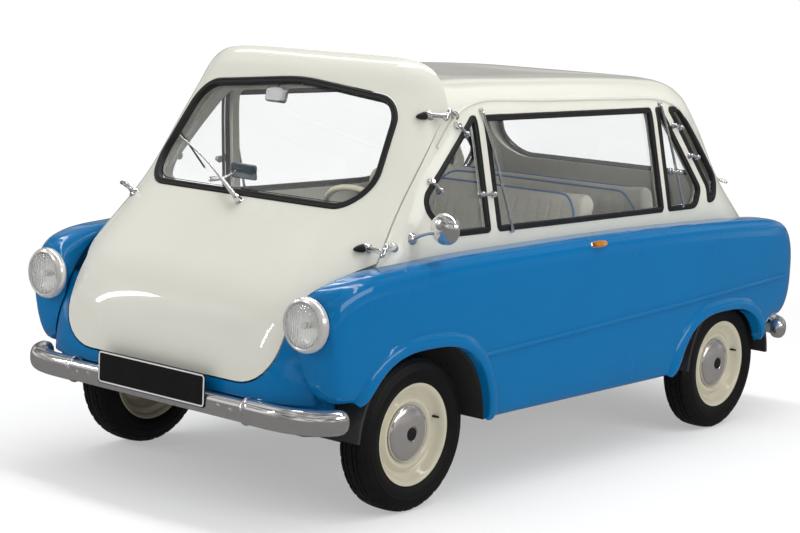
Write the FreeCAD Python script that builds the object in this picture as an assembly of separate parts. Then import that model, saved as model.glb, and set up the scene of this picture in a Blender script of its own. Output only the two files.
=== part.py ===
import FreeCAD, Part
import math
import os
from FreeCAD import Matrix, Placement, Rotation, Vector

# Bubble car with a front door and a rear door, benches back to back and the
# engine between them. X points to the car's left, the front faces -Y, Z is up
# and the origin is on the ground under the middle of the car. Millimetres.

os.makedirs("parts", exist_ok=True)
doc = FreeCAD.newDocument("bubble_car")
sheet = doc.addObject("Spreadsheet::Sheet", "sizes")

DRIVING_SIZES = [
    ("wheelbase", 1820, "front axle to rear axle"),
    ("track_width", 1200, "middle of tyre to middle of tyre"),
    ("tyre_radius", 250, "tyre outer radius, also the height of the axles"),
    ("tyre_width", 115, "tyre section width"),
    ("rim_radius", 164, "outer edge of the wheel's flange"),
    ("bead_radius", 156, "where the tyre's bead sits"),
    ("rim_width", 100, "flange to flange"),
    ("rim_wall", 6, "sheet of the wheel, drawn as thick as its rolled edge"),
    ("disc_offset", 18, "face of the wheel's disc, outboard of the tyre's middle"),
    ("hubcap_radius", 92, "chrome hubcap"),
    ("hubcap_depth", 26, "height of the hubcap's dome"),
    ("body_end", 1385, "lowest part of each door, from the middle of the car"),
    ("cabin_half_width", 631, "cabin's half width at the belt, before its corners are rounded"),
    ("tumblehome", 98, "how much that half width loses in each metre of height"),
    ("corner_power", 8, "how square the cabin's corners are"),
    ("belt_height", 812, "line where blue meets cream"),
    ("sill_height", 262, "underside of the body"),
    ("roof_height", 1346, "top of the fixed roof"),
    ("dome_height", 1420, "top of the front door's dome"),
    ("door_wall", 35, "front and rear door, outside to inside"),
    ("roof_wall", 38, "roof and pillars, outside to inside"),
    ("shut_gap", 6, "gap round each door"),
    ("door_bottom", 432, "lower edge of each door"),
    ("door_half_width", 485, "lower part of each door"),
    ("door_shoulder", 602, "edge of each door where it meets the belt"),
    ("screen_low_half", 510, "windscreen's rubber at its foot"),
    ("screen_top_half", 454, "windscreen's rubber at its head"),
    ("screen_low", 943, "foot of the windscreen's rubber"),
    ("screen_top", 1330, "crown of the windscreen's rubber"),
    ("rear_screen_top", 1250, "crown of the rear window's rubber"),
    ("door_corner", 150, "radius of each door's lower corners"),
    ("gasket_width", 21, "rubber round each window, as seen from outside"),
    ("gasket_proud", 5, "how far that rubber stands out of the skin"),
    ("glass_depth", 12, "from the skin in to the glass"),
    ("glass_wall", 5, "thickness of the glass"),
    ("fit_gap", 0.3, "clearance where one piece sits in another"),
    ("front_arch_height", 535, "crest of the front wheel arch"),
    ("rear_arch_height", 474, "crest of the rear wheel arch"),
    ("wheelhouse_radius", 300, "inner arch over the front wheels"),
    ("rear_house_radius", 278, "inner arch over the rear wheels"),
    ("wheelhouse_inner", 400, "inner side of each inner arch"),
    ("panel_wall", 12, "inner arches"),
    ("lamp_x", 590, "headlamp, from the middle of the car"),
    ("lamp_z", 640, "headlamp, above the ground"),
    ("lamp_y", 1345, "back of the headlamp's ring, ahead of the middle"),
    ("lamp_radius", 84, "outside of the headlamp's ring"),
    ("lamp_depth", 32, "depth of that ring"),
    ("lens_radius", 68, "glass of the headlamp"),
    ("bumper_z", 350, "middle of each bumper"),
    ("bumper_height", 68, "height of the bumper's middle bar"),
    ("bumper_depth", 32, "front to back of that bar"),
    ("bumper_face", 1430, "outer face of each bumper, from the middle"),
    ("bumper_joint", 420, "where the bar meets its corner pieces"),
    ("plate_width", 490, "number plate"),
    ("plate_height", 106, "number plate"),
    ("seat_half_width", 515, "front bench and both backrests"),
    ("seat_height", 560, "top of each bench"),
    ("backrest_top", 945, "top of each backrest"),
    ("steering_x", 225, "steering wheel, from the middle of the car"),
    ("steering_radius", 195, "steering wheel's rim"),
    ("stub_radius", 14, "stub axle that each wheel turns on"),
    ("kingpin_x", 545, "steering pivot of each front wheel"),
    ("plate_hole_radius", 3.5, "bolt holes for the rear number plate"),
    ("plate_hole_spacing", 240, "from one of those holes to the other"),
    ("hinge_low_x", 652, "lower door hinge, out from the middle"),
    ("hinge_low_y", 1097, "lower door hinge, ahead of the middle"),
    ("hinge_low_z", 843, "lower door hinge, above the ground"),
    ("hinge_top_x", 578, "upper door hinge, out from the middle"),
    ("hinge_top_y", 731, "upper door hinge, ahead of the middle"),
    ("hinge_top_z", 1238, "upper door hinge, above the ground"),
    ("hinge_pin", 4, "radius of each hinge pin"),
    ("hinge_barrel", 9, "radius of each hinge barrel"),
]
for row, (alias, value, note) in enumerate(DRIVING_SIZES, start=1):
    sheet.set("A%d" % row, note)
    sheet.set("B%d" % row, str(value))
    sheet.setAlias("B%d" % row, alias)
doc.recompute()


def size(alias):
    return float(sheet.get(alias))


# Cabin form. Seen from the side it is one closed outline. Seen along the other
# axes it is that outline shrunk towards the cabin's middle, slowly at first and
# fast near the sides, which leaves flat sides with generously rounded corners.

CABIN_MIDDLE = (0.0, 750.0)
STATION_SHARES = (0.0, 0.45, 0.68, 0.80, 0.87, 0.92, 0.955, 0.975)


def cabin_outline(front_top, roof_line):
    end = size("body_end")
    roof = size("roof_height")
    lower = [(end, 300), (end + 5, 450), (end - 9, 535), (end - 51, 640), (end - 124, 738),
             (end - 234, 846), (end - 334, 945), (end - 402, 1030), (end - 472, 1135)]
    front = [(-y, z) for y, z in lower] + front_top
    rear = [(y, z) for y, z in lower] + [(end - 540, 1222), (end - 600, 1285), (end - 680, roof - 22)]
    return front + [(y, roof - drop) for y, drop in roof_line] + rear[::-1]


def half_width(z):
    return size("cabin_half_width") - size("tumblehome") * (z - size("belt_height")) / 1000.0


def cabin_solid(outline, inset):
    middle_y, middle_z = CABIN_MIDDLE
    power = size("corner_power")
    wires = []
    shares = [-s for s in reversed(STATION_SHARES[1:])] + list(STATION_SHARES)
    for share in shares:
        shrink = (1.0 - abs(share) ** power) ** (1.0 / power)
        points = []
        for y, z in outline:
            reach = math.hypot(y - middle_y, z - middle_z)
            factor = shrink * (reach - inset) / reach
            py = middle_y + (y - middle_y) * factor
            pz = middle_z + (z - middle_z) * factor
            across = share * (half_width(pz) - inset)
            points.append(Vector(across, py, pz))
        curve = Part.BSplineCurve()
        curve.interpolate(points)
        wires.append(Part.Wire([curve.toShape(), Part.makeLine(points[-1], points[0])]))
    return Part.makeLoft(wires, True, False)


def front_top():
    end = size("body_end")
    dome = size("dome_height")
    return [(-(end - 540), 1238), (-(end - 598), 1325), (-(end - 640), dome - 38), (-(end - 700), dome - 6),
            (-(end - 780), dome)]


def low_front_top():
    end = size("body_end")
    roof = size("roof_height")
    return [(-(end - 545), 1228), (-(end - 605), 1290), (-(end - 690), roof - 14)]



def node(label, shape, placement=None):
    feature = doc.addObject("Part::Feature", label)
    feature.Label = label
    feature.Shape = shape
    if placement is not None:
        feature.Placement = placement
    return feature


def mirrored(shape):
    return shape.mirror(Vector(0, 0, 0), Vector(1, 0, 0))


def both_sides(shape):
    return Part.makeCompound([shape, mirrored(shape)])


def prism_across(points, start_x, end_x):
    """Side-view outline (y, z), extruded along X."""
    corners = [Vector(start_x, y, z) for y, z in points]
    face = Part.Face(Part.makePolygon(corners + [corners[0]]))
    return face.extrude(Vector(end_x - start_x, 0, 0))


def rounded_prism(points, radii, direction, start, length):
    """Prism of a polygon whose corners are rounded. The polygon lies across
    the given axis: (y, z) across X or (x, z) across Y."""
    def place(p):
        if direction == "X":
            return Vector(start, p[0], p[1])
        return Vector(p[0], start, p[1])
    corners = [place(p) for p in points]
    count = len(corners)
    edges = []
    ends = []
    for k in range(count):
        before = corners[k - 1]
        here = corners[k]
        after = corners[(k + 1) % count]
        back = (before - here).normalize()
        ahead = (after - here).normalize()
        half = math.acos(max(-1.0, min(1.0, back.dot(ahead)))) / 2.0
        reach = radii[k] / math.tan(half)
        bisector = (back + ahead).normalize()
        first = here + back * reach
        last = here + ahead * reach
        middle = here + bisector * (radii[k] / math.sin(half) - radii[k])
        ends.append((first, middle, last))
    for k in range(count):
        first, middle, last = ends[k]
        edges.append(Part.Arc(first, middle, last).toShape())
        follower = ends[(k + 1) % count][0]
        edges.append(Part.makeLine(last, follower))
    face = Part.Face(Part.Wire(edges))
    if direction == "X":
        return face.extrude(Vector(length, 0, 0))
    return face.extrude(Vector(0, length, 0))


def block(x0, x1, y0, y1, z0, z1):
    return Part.makeBox(x1 - x0, y1 - y0, z1 - z0, Vector(x0, y0, z0))


# Shut lines of the doors, seen from the side. The front one follows the
# pillar that carries its hinges, the rear one is its mirror image.

WIDE = 900.0


def shut_outline(shift):
    end = size("body_end")
    return [(-(end - 690) + shift, 1700), (-(end - 690) + shift, 1262), (-(end - 330) + shift, 806),
            (-(end - 190) + shift, 620), (-(end - 100) + shift, 380), (-(end + 400), 380), (-(end + 400), 1700)]


def rear_shut_outline(shift):
    end = size("body_end")
    return [((end - 665) - shift, 1700), ((end - 665) - shift, 1262), ((end - 305) - shift, 806),
            ((end - 190) - shift, 620), ((end - 100) - shift, 380), ((end + 400), 380), ((end + 400), 1700)]


def door_prism(grow, start_y, length):
    """Outline of a door as seen from its end of the car."""
    half = size("door_half_width") + grow
    low = size("door_bottom") - grow
    belt = size("belt_height")
    corner = size("door_corner") + grow
    shoulder = size("door_shoulder") + grow
    right = [(half - 12, low), (half, 600), (half + 12, 700), (shoulder, belt - 6), (760, belt - 6), (760, 1700)]
    points = [(-x, z) for x, z in right[:1]] + right + [(-x, z) for x, z in reversed(right[1:])]
    radii = [corner, corner, 30, 30, 1, 1, 1, 1, 1, 1, 30, 30]
    return rounded_prism(points, radii, "Y", start_y, length)


def screen_prism(inset, high, start_y, length):
    """Outline of the windscreen's or rear window's rubber, seen from its end."""
    foot = size("screen_low_half") - inset
    head = size("screen_top_half") - inset
    low = size("screen_low") + inset
    top = high - inset
    points = [(-foot, low), (foot, low), (head, top - 40), (0, top), (-head, top - 40)]
    radii = [105 - inset, 105 - inset, 112 - inset, 900, 112 - inset]
    return rounded_prism(points, radii, "Y", start_y, length)


dome_outline = cabin_outline(front_top(), [(-100, 0), (350, 3)])
roof_outline = cabin_outline(low_front_top(), [(-590, 5), (-400, 1), (-100, 0), (200, 1), (450, 5), (600, 10)])
dome_skin = cabin_solid(dome_outline, 0)
roof_skin = cabin_solid(roof_outline, 0)

# Front door and rear door: one thick curved shell each.

FRONT_START = -1700.0
REAR_START = 500.0
END_LENGTH = 1200.0


def door_shell(skin, outline, region, high, start_y):
    zone = prism_across(region, -WIDE, WIDE).common(door_prism(0, start_y, END_LENGTH))
    zone = zone.cut(screen_prism(0, high, start_y, END_LENGTH))
    return skin.common(zone).cut(cabin_solid(outline, size("door_wall")))


front_high = size("screen_top")
rear_high = size("rear_screen_top")
front_shell = door_shell(dome_skin, dome_outline, shut_outline(0), front_high, FRONT_START)
node("front_door_shell", front_shell)
rear_shell = door_shell(roof_skin, roof_outline, rear_shut_outline(0), rear_high, REAR_START)
node("rear_door_shell", rear_shell)

seat = size("fit_gap")
rubber = size("gasket_width")
depth = size("glass_depth")
for label, outline, high, start_y in (("front", dome_outline, front_high, FRONT_START),
                                      ("rear", roof_outline, rear_high, REAR_START)):
    ring = screen_prism(seat, high, start_y, END_LENGTH).cut(screen_prism(rubber, high, start_y, END_LENGTH))
    gasket = cabin_solid(outline, -size("gasket_proud")).common(ring)
    node(label + "_screen_rubber", gasket.cut(cabin_solid(outline, size("door_wall") - 3)))
    pane = cabin_solid(outline, depth).common(screen_prism(rubber + seat, high, start_y, END_LENGTH))
    node(label + "_screen_glass", pane.cut(cabin_solid(outline, depth + size("glass_wall"))))

# Fixed roof with the pillars and the frames of the side windows.

SIDE_LOW = 856.0
SIDE_HIGH = 1238.0
side_windows = {
    "front_vent": ([(-750, SIDE_LOW), (-512, SIDE_LOW), (-572, SIDE_HIGH), (-598, SIDE_HIGH), (-868, 968)],
                   [62, 14, 14, 30, 60]),
    "middle": ([(-478, SIDE_LOW), (516, SIDE_LOW), (444, SIDE_HIGH), (-540, SIDE_HIGH)],
               [22, 16, 16, 16]),
    "rear_vent": ([(542, SIDE_LOW), (738, SIDE_LOW), (770, 930), (506, SIDE_HIGH), (470, SIDE_HIGH)],
                  [14, 50, 40, 12, 12]),
    "corner_pane": ([(812, 872), (868, 872), (905, 968), (640, SIDE_HIGH), (545, SIDE_HIGH), (806, 930)],
                    [14, 45, 60, 50, 14, 60]),
}


def side_prisms(inset, start_x, length):
    """All window outlines of one side, each drawn in by the given inset."""
    prisms = []
    for points, radii in side_windows.values():
        shape = rounded_prism(points, radii, "X", start_x, length)
        if inset > 0:
            face = min(shape.Faces, key=lambda f: f.CenterOfMass.x)
            wire = face.OuterWire.makeOffset2D(-inset)
            shape = Part.Face(wire).extrude(Vector(length, 0, 0))
        prisms.append(shape)
    return Part.makeCompound(prisms)


upper_zone = block(-WIDE, WIDE, -1300, 1300, size("belt_height"), 1700)
upper_zone = upper_zone.cut(prism_across(shut_outline(size("shut_gap")), -WIDE, WIDE))
upper_zone = upper_zone.cut(prism_across(rear_shut_outline(size("shut_gap")), -WIDE, WIDE))
upper_zone = upper_zone.cut(side_prisms(0, -WIDE, 2 * WIDE))
upper = roof_skin.common(upper_zone).cut(cabin_solid(roof_outline, size("roof_wall")))
node("upper_body", upper)

frames = side_prisms(seat, 400, 400).cut(side_prisms(rubber, 400, 400))
rings = cabin_solid(roof_outline, -size("gasket_proud")).common(frames)
rings = rings.cut(cabin_solid(roof_outline, size("roof_wall") - 4))
panes = cabin_solid(roof_outline, depth).common(side_prisms(rubber + seat, 400, 400))
panes = panes.cut(cabin_solid(roof_outline, depth + size("glass_wall")))
node("side_rubbers", Part.makeCompound(rings.Solids + mirrored(rings).Solids))
node("side_glass", Part.makeCompound(panes.Solids + mirrored(panes).Solids))

# Blue sides. Each is one flowing form from the headlamp to the tail, whose
# cross sections are squared ovals.

SIDE_STATIONS = [
    (-1345, 526, 672, 558, 722, 2.0),
    (-1330, 530, 686, 445, 738, 2.5),
    (-1300, 545, 695, 404, 752, 3.2),
    (-1230, 560, 702, 396, 771, 4.2),
    (-1080, 560, 708, 300, 789, 5.0),
    (-880, 560, 712, 262, 802, 5.5),
    (-500, 560, 715, 262, 812, 6.0),
    (0, 560, 715, 262, 818, 6.0),
    (500, 560, 715, 262, 816, 6.0),
    (900, 560, 712, 262, 808, 5.5),
    (1100, 560, 708, 300, 800, 5.0),
    (1230, 560, 702, 396, 786, 4.2),
    (1310, 545, 694, 400, 766, 3.4),
    (1360, 512, 676, 420, 738, 2.8),
    (1388, 530, 650, 460, 692, 2.3),
]


def side_section(station, inset):
    y, inner, outer, bottom, top, power = station
    middle_x = (inner + outer) / 2.0
    middle_z = (bottom + top) / 2.0
    half_x = (outer - inner) / 2.0 - inset
    half_z = (top - bottom) / 2.0 - inset
    points = []
    count = 28
    for k in range(count):
        turn = -2.0 * math.pi * (k + 0.5) / count
        c = math.cos(turn)
        s = math.sin(turn)
        x = middle_x + half_x * math.copysign(abs(c) ** (2.0 / power), c)
        z = middle_z + half_z * math.copysign(abs(s) ** (2.0 / power), s)
        points.append(Vector(x, y, z))
    curve = Part.BSplineCurve()
    curve.interpolate(Points=points, PeriodicFlag=True)
    return Part.Wire([curve.toShape()])


side = Part.makeLoft([side_section(s, 0) for s in SIDE_STATIONS], True, False)


def arch_prism(middle_y, half_span, base, crest, power, start_x, length):
    points = []
    count = 16
    for k in range(count + 1):
        turn = math.pi * k / count
        c = math.cos(turn)
        s = math.sin(turn)
        y = middle_y + half_span * math.copysign(abs(c) ** (2.0 / power), c)
        z = base + (crest - base) * abs(s) ** (2.0 / power)
        points.append(Vector(start_x, y, z))
    curve = Part.BSplineCurve()
    curve.interpolate(points)
    face = Part.Face(Part.Wire([curve.toShape(), Part.makeLine(points[-1], points[0])]))
    return face.extrude(Vector(length, 0, 0))


axle_y = size("wheelbase") / 2.0
axle_z = size("tyre_radius")
house_in = size("wheelhouse_inner")
front_house = Part.makeCylinder(size("wheelhouse_radius"), 275, Vector(house_in, -axle_y, axle_z), Vector(1, 0, 0))
rear_house = Part.makeCylinder(size("rear_house_radius"), 268, Vector(house_in, axle_y, axle_z), Vector(1, 0, 0))
front_arch = arch_prism(-axle_y - 5, 314, 150, size("front_arch_height"), 2.8, house_in, 400)
rear_arch = arch_prism(axle_y - 85, 318, 150, size("rear_arch_height"), 2.8, 640, 200)
clear = size("shut_gap")
front_room = cabin_solid(dome_outline, -clear).common(door_prism(clear, FRONT_START, 700))
rear_room = cabin_solid(roof_outline, -clear).common(door_prism(clear, REAR_START + 500, 700))
side = side.cut([front_house, rear_house, front_arch, rear_arch, block(-WIDE, WIDE, -1700, 1700, 0, 262)])
side = side.cut([front_room, rear_room, roof_skin])
side_solids = sorted(side.Solids, key=lambda s: -s.Volume)
side = side_solids[0]
node("side_panel_left", side)
node("side_panel_right", mirrored(side))

# Apron under each door. It wraps round the door's lower corners and steps back
# behind the bumper.

STEP_HEIGHT = 388.0
STEP_DEPTH = 25.0


def apron(outline, start_y, box_y, length):
    outer = cabin_solid(outline, seat)
    lower = cabin_solid(outline, STEP_DEPTH)
    hollow = cabin_solid(outline, size("door_wall") + 10)
    upper_part = outer.common(block(-590, 590, box_y, box_y + length, STEP_HEIGHT, 640))
    lower_part = lower.common(block(-590, 590, box_y, box_y + length, 300, STEP_HEIGHT))
    band = upper_part.fuse(lower_part).cut(hollow)
    return band.cut([door_prism(clear, start_y, END_LENGTH), side, mirrored(side)])


front_apron = apron(dome_outline, FRONT_START, -1700, 478)
rear_apron = apron(roof_outline, REAR_START, 1222, 478)
node("aprons", Part.makeCompound(front_apron.Solids + rear_apron.Solids))

# Floor, and the inner arches over the wheels.

FLOOR_TOP = 300.0
plate_wall = size("panel_wall")
sill = size("sill_height")
floor_half = 560 - seat
floor = block(-floor_half, floor_half, -1325, 1325, sill, FLOOR_TOP - seat)
arches = []
for y, radius in ((-axle_y, size("wheelhouse_radius")), (axle_y, size("rear_house_radius"))):
    start = Vector(house_in - plate_wall, y, axle_z)
    outside = Part.makeCylinder(radius + plate_wall, 300, start, Vector(1, 0, 0))
    hollow = Part.makeCylinder(radius, 300, Vector(house_in, y, axle_z), Vector(1, 0, 0))
    arch = outside.cut(hollow).common(block(0, WIDE, -1700, 1700, sill, 900))
    arch = arch.cut([side, front_shell, rear_shell])
    arches.append(max(arch.Solids, key=lambda s: s.Volume))
    room = block(house_in - plate_wall - seat, WIDE, y - radius - plate_wall - seat, y + radius + plate_wall + seat,
                 0, FLOOR_TOP)
    floor = floor.cut([room, mirrored(room)])
node("floor_pan", floor)
node("inner_arches", Part.makeCompound(arches + [mirrored(a) for a in arches]))

# Headlamps, standing on the rounded ends of the front wings.


def turned(profile, base, direction):
    """Solid of revolution. The profile's points are (radius, distance along the axis)."""
    points = [Vector(r, 0, h) for r, h in profile]
    face = Part.Face(Part.makePolygon(points + [points[0]]))
    solid = face.revolve(Vector(0, 0, 0), Vector(0, 0, 1), 360)
    solid.Placement = Placement(base, Rotation(Vector(0, 0, 1), direction))
    return solid


lamp_base = Vector(size("lamp_x"), -size("lamp_y"), size("lamp_z"))
ring_r = size("lamp_radius")
lens_r = size("lens_radius")
ring_depth = size("lamp_depth")
forward = Vector(0, -1, 0)
ring = turned([(0, seat), (ring_r, seat), (ring_r, ring_depth - 10), (ring_r - 5, ring_depth),
               (lens_r + seat, ring_depth + 3), (lens_r + seat, ring_depth - 14), (0, ring_depth - 14)],
              lamp_base, forward)
lens = turned([(0, ring_depth - 14 + seat), (lens_r, ring_depth - 14 + seat), (lens_r, ring_depth),
               (lens_r - 12, ring_depth + 9), (lens_r - 34, ring_depth + 16), (0, ring_depth + 20)],
              lamp_base, forward)
node("headlamp_rings", both_sides(ring))
node("headlamp_lenses", both_sides(lens))

# Bumpers: a bar, with a fatter piece at each end that wraps round the corner.

bar_h = size("bumper_height")
bar_d = size("bumper_depth")
joint = size("bumper_joint")
face_y = size("bumper_face")
bumper_z = size("bumper_z")


def bumper(outline):
    """The front bumper. The rear one is its mirror image."""
    low = bumper_z - bar_h / 2
    high = bumper_z + bar_h / 2
    back = -face_y + bar_d
    bar = rounded_prism([(-face_y, low), (back, low), (back, high), (-face_y, high)],
                        [14, 5, 5, 14], "X", -joint, 2 * joint)
    depth = 32.0
    middle = -face_y + depth
    spine = Part.Wire([
        Part.makeLine(Vector(joint - 25, middle, bumper_z), Vector(joint + 120, middle + 5, bumper_z)),
        Part.Arc(Vector(joint + 120, middle + 5, bumper_z), Vector(joint + 218, middle + 48, bumper_z),
                 Vector(joint + 262, middle + 140, bumper_z)).toShape()])
    oval = Part.Ellipse(Vector(0, 0, 0), bar_h / 2 + 5, depth).toShape()
    oval.Placement = Placement(Vector(joint - 25, middle, bumper_z),
                               Rotation(Vector(0, 0, 1), Vector(0, -1, 0), Vector(1, 0, 0), "ZXY"))
    corner = spine.makePipeShell([Part.Wire([oval])], True, False)
    piece = bar.fuse(corner).fuse(mirrored(corner))
    for x in (-300, 300):
        piece = piece.fuse(block(x - 20, x + 20, back - 5, -1345, bumper_z - 15, bumper_z + 15))
    return piece.cut(cabin_solid(outline, STEP_DEPTH - seat))


front_bar = bumper(roof_outline)
node("front_bumper", front_bar)
rear_bar = front_bar.mirror(Vector(0, 0, 0), Vector(0, 1, 0))
for sign in (-1, 1):
    hole_start = Vector(sign * size("plate_hole_spacing") / 2, face_y - bar_d - 5, bumper_z)
    rear_bar = rear_bar.cut(Part.makeCylinder(size("plate_hole_radius"), bar_d + 10, hole_start, Vector(0, 1, 0)))
node("rear_bumper", rear_bar)

plate_w = size("plate_width")
plate_h = size("plate_height")
node("number_plate", block(-plate_w / 2, plate_w / 2, -face_y - 4, -face_y - seat,
                           390 - plate_h / 2, 390 + plate_h / 2))

# Wheels. Each is built on its own axis and then put on its corner of the car.

rim_half = size("rim_width") / 2
tyre_half = size("tyre_width") / 2
tyre_r = size("tyre_radius")
bead_r = size("bead_radius")
rim_r = size("rim_radius")
wall = size("rim_wall")
disc = size("disc_offset")
cap_r = size("hubcap_radius")
cap_d = size("hubcap_depth")
stub_r = size("stub_radius")
bead_half = rim_half - wall - seat
TYRE_PROFILE = [(bead_r, -bead_half), (bead_r, bead_half), (rim_r + 1, bead_half),
                (bead_r + 30, tyre_half - 3), (bead_r + 50, tyre_half), (bead_r + 70, tyre_half - 4),
                (tyre_r - 8, tyre_half - 14), (tyre_r - 2, tyre_half - 22), (tyre_r, 0)]
TYRE_PROFILE += [(r, -x) for r, x in reversed(TYRE_PROFILE[1:-1])]
RIM_PROFILE = [(rim_r, rim_half), (rim_r - wall, rim_half), (bead_r - wall, rim_half - wall),
               (bead_r - wall - 14, 26), (bead_r - 30, disc + 2), (cap_r + 14, disc + 8), (cap_r, disc),
               (stub_r + seat, disc), (stub_r + seat, -34), (30, -34), (30, disc - wall), (cap_r, disc - wall), (cap_r + 14, disc + 2), (bead_r - 30 - wall, -6),
               (bead_r - 26, -14), (bead_r - wall, -30), (bead_r - wall, -rim_half), (rim_r, -rim_half),
               (rim_r, -rim_half + wall - 1), (bead_r - seat, -rim_half + wall), (bead_r - seat, -30),
               (bead_r - 20, -14), (bead_r - 20, 14), (bead_r - seat, 30), (bead_r - seat, rim_half - wall),
               (rim_r, rim_half - wall + 1)]
CAP_PROFILE = [(0, disc + cap_d), (22, disc + cap_d), (30, disc + cap_d - 3), (60, disc + cap_d - 8),
               (cap_r - 8, disc + 8), (cap_r - 2, disc - 1), (cap_r - 14, disc - 1),
               (56, disc + cap_d - 11), (0, disc + cap_d - 6)]
half_track = size("track_width") / 2
corners = [("front_left", 1, -axle_y), ("front_right", -1, -axle_y),
           ("rear_left", 1, axle_y), ("rear_right", -1, axle_y)]
for corner, sign, y in corners:
    hub_centre = Vector(sign * half_track, y, tyre_r)
    outward = Vector(sign, 0, 0)
    node("tyre_" + corner, turned(TYRE_PROFILE, hub_centre, outward))
    wheel = turned(RIM_PROFILE, hub_centre, outward).fuse(turned(CAP_PROFILE, hub_centre, outward))
    node("wheel_" + corner, wheel)

# Front axle beam with its steering pivots, and a knuckle at each end.

pivot_x = size("kingpin_x")
beam_z = tyre_r - 60
beam = Part.makeCylinder(22, 2 * pivot_x - 60, Vector(-pivot_x + 30, -axle_y, beam_z), Vector(1, 0, 0))
for x in (-300, 300):
    beam = beam.fuse(block(x - 25, x + 25, -axle_y - 25, -axle_y + 25, beam_z, sill - seat))
for sign in (-1, 1):
    fork_start = min(sign * (pivot_x - 45), sign * (pivot_x + 16))
    fork = block(fork_start, fork_start + 61, -axle_y - 18, -axle_y + 18, beam_z - 14, tyre_r + 52)
    slot = block(sign * pivot_x - 24, sign * pivot_x + 24, -axle_y - 30, -axle_y + 30, tyre_r - 34, tyre_r + 34)
    beam = beam.fuse(fork.cut(slot))
for corner, sign, y in corners[:2]:
    block_part = Part.makeCylinder(15, 68 - 2 * seat, Vector(sign * pivot_x, y, tyre_r - 34 + seat))
    stub = Part.makeCylinder(stub_r, half_track - pivot_x + 2, Vector(sign * pivot_x, y, tyre_r),
                             Vector(sign, 0, 0))
    node("knuckle_" + corner[6:], block_part.fuse(stub))

rear_beam = Part.makeCylinder(22, 2 * pivot_x - 40, Vector(-pivot_x + 20, axle_y, beam_z), Vector(1, 0, 0))
for x in (-300, 300):
    rear_beam = rear_beam.fuse(block(x - 25, x + 25, axle_y - 25, axle_y + 25, beam_z, sill - seat))
for sign in (-1, 1):
    cheek = block(min(sign * (pivot_x - 40), sign * pivot_x), max(sign * (pivot_x - 40), sign * pivot_x),
                  axle_y - 25, axle_y + 25, beam_z - 22, tyre_r + 25)
    stub = Part.makeCylinder(stub_r, half_track - pivot_x + 12, Vector(sign * (pivot_x - 10), axle_y, tyre_r),
                             Vector(sign, 0, 0))
    rear_beam = rear_beam.fuse(cheek).fuse(stub)
node("axle_beams", Part.makeCompound([beam, rear_beam]))

# Benches, back to back, with the engine between their backrests.

seat_half = size("seat_half_width")
seat_top = size("seat_height")
back_top = size("backrest_top")


def slanted(low_y, high_y, thick_y, low_z, high_z, half):
    outline = [(low_y, low_z), (low_y + thick_y, low_z), (high_y + thick_y, high_z), (high_y, high_z)]
    return rounded_prism(outline, [20, 20, 50, 50], "X", -half, 2 * half)


base_top = 415.0
rest = base_top + seat
node("front_bench_cushion", rounded_prism([(-470, rest), (40, rest), (40, seat_top - 10), (-470, seat_top)],
                                          [30, 20, 20, 45], "X", -seat_half, 2 * seat_half))
node("front_bench_back", slanted(45, 150, 105, rest, back_top, seat_half))
node("rear_bench_cushion", rounded_prism([(735, rest), (1130, rest), (1130, seat_top), (735, seat_top - 10)],
                                         [20, 30, 45, 20], "X", -385, 770))
rear_back = slanted(600, 510, 105, 580, back_top, seat_half)
node("rear_bench_back", rear_back.fuse(block(-385, 385, 612, 700, rest, 600)))
front_base = block(-420, 420, -440, 148, FLOOR_TOP + seat, base_top)
rear_base = block(-370, 370, 612, 1100, FLOOR_TOP + seat, base_top)
node("bench_bases", Part.makeCompound([front_base, rear_base]))
node("engine", block(-230, 230, 230, 480, FLOOR_TOP + seat, 620))

# Steering column and wheel.

column_foot = Vector(size("steering_x"), -1150, 380)
wheel_centre = Vector(size("steering_x"), -640, 830)
along = (wheel_centre - column_foot).normalize()
column_length = (wheel_centre - column_foot).Length
column = Part.makeCylinder(20, column_length - 40, column_foot, along)
column = column.fuse(block(size("steering_x") - 30, size("steering_x") + 30, -1190, -1110, FLOOR_TOP + seat, 420))
node("steering_column", column)
rim = Part.makeTorus(size("steering_radius"), 11)
hub = Part.makeCylinder(30, 26, Vector(0, 0, -26))
shaft = Part.makeCylinder(12, 30, Vector(0, 0, -40 + seat))
steering = rim.fuse(hub).fuse(shaft)
for turn in (90, 210, 330):
    spoke = Part.makeCylinder(7, size("steering_radius"), Vector(0, 0, -14), Vector(1, 0, 0.075))
    spoke.rotate(Vector(0, 0, 0), Vector(0, 0, 1), turn)
    steering = steering.fuse(spoke)
node("steering_wheel", steering, Placement(wheel_centre, Rotation(Vector(0, 0, 1), along)))

# Hinges of the doors. On each one an eye with a pin stands out from the pillar,
# and the door's knuckle turns on the pin.

KNUCKLE = 22.0
EYE = 16.0
PIN_HEAD = 4.0
SIDE_PLAY = 0.5
REAR_SHIFT = 25.0


def skin_point(skin, y, z, sign):
    """Where the skin's side lies at the given place, with sign 1 for the left."""
    ray = Part.makeLine(Vector(sign * WIDE, y, z), Vector(0, y, z)).common(skin)
    return max((v.Point for v in ray.Vertexes), key=lambda p: sign * p.x)


def rod(start, end, radius):
    return Part.makeCylinder(radius, (end - start).Length, start, end - start)


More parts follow.
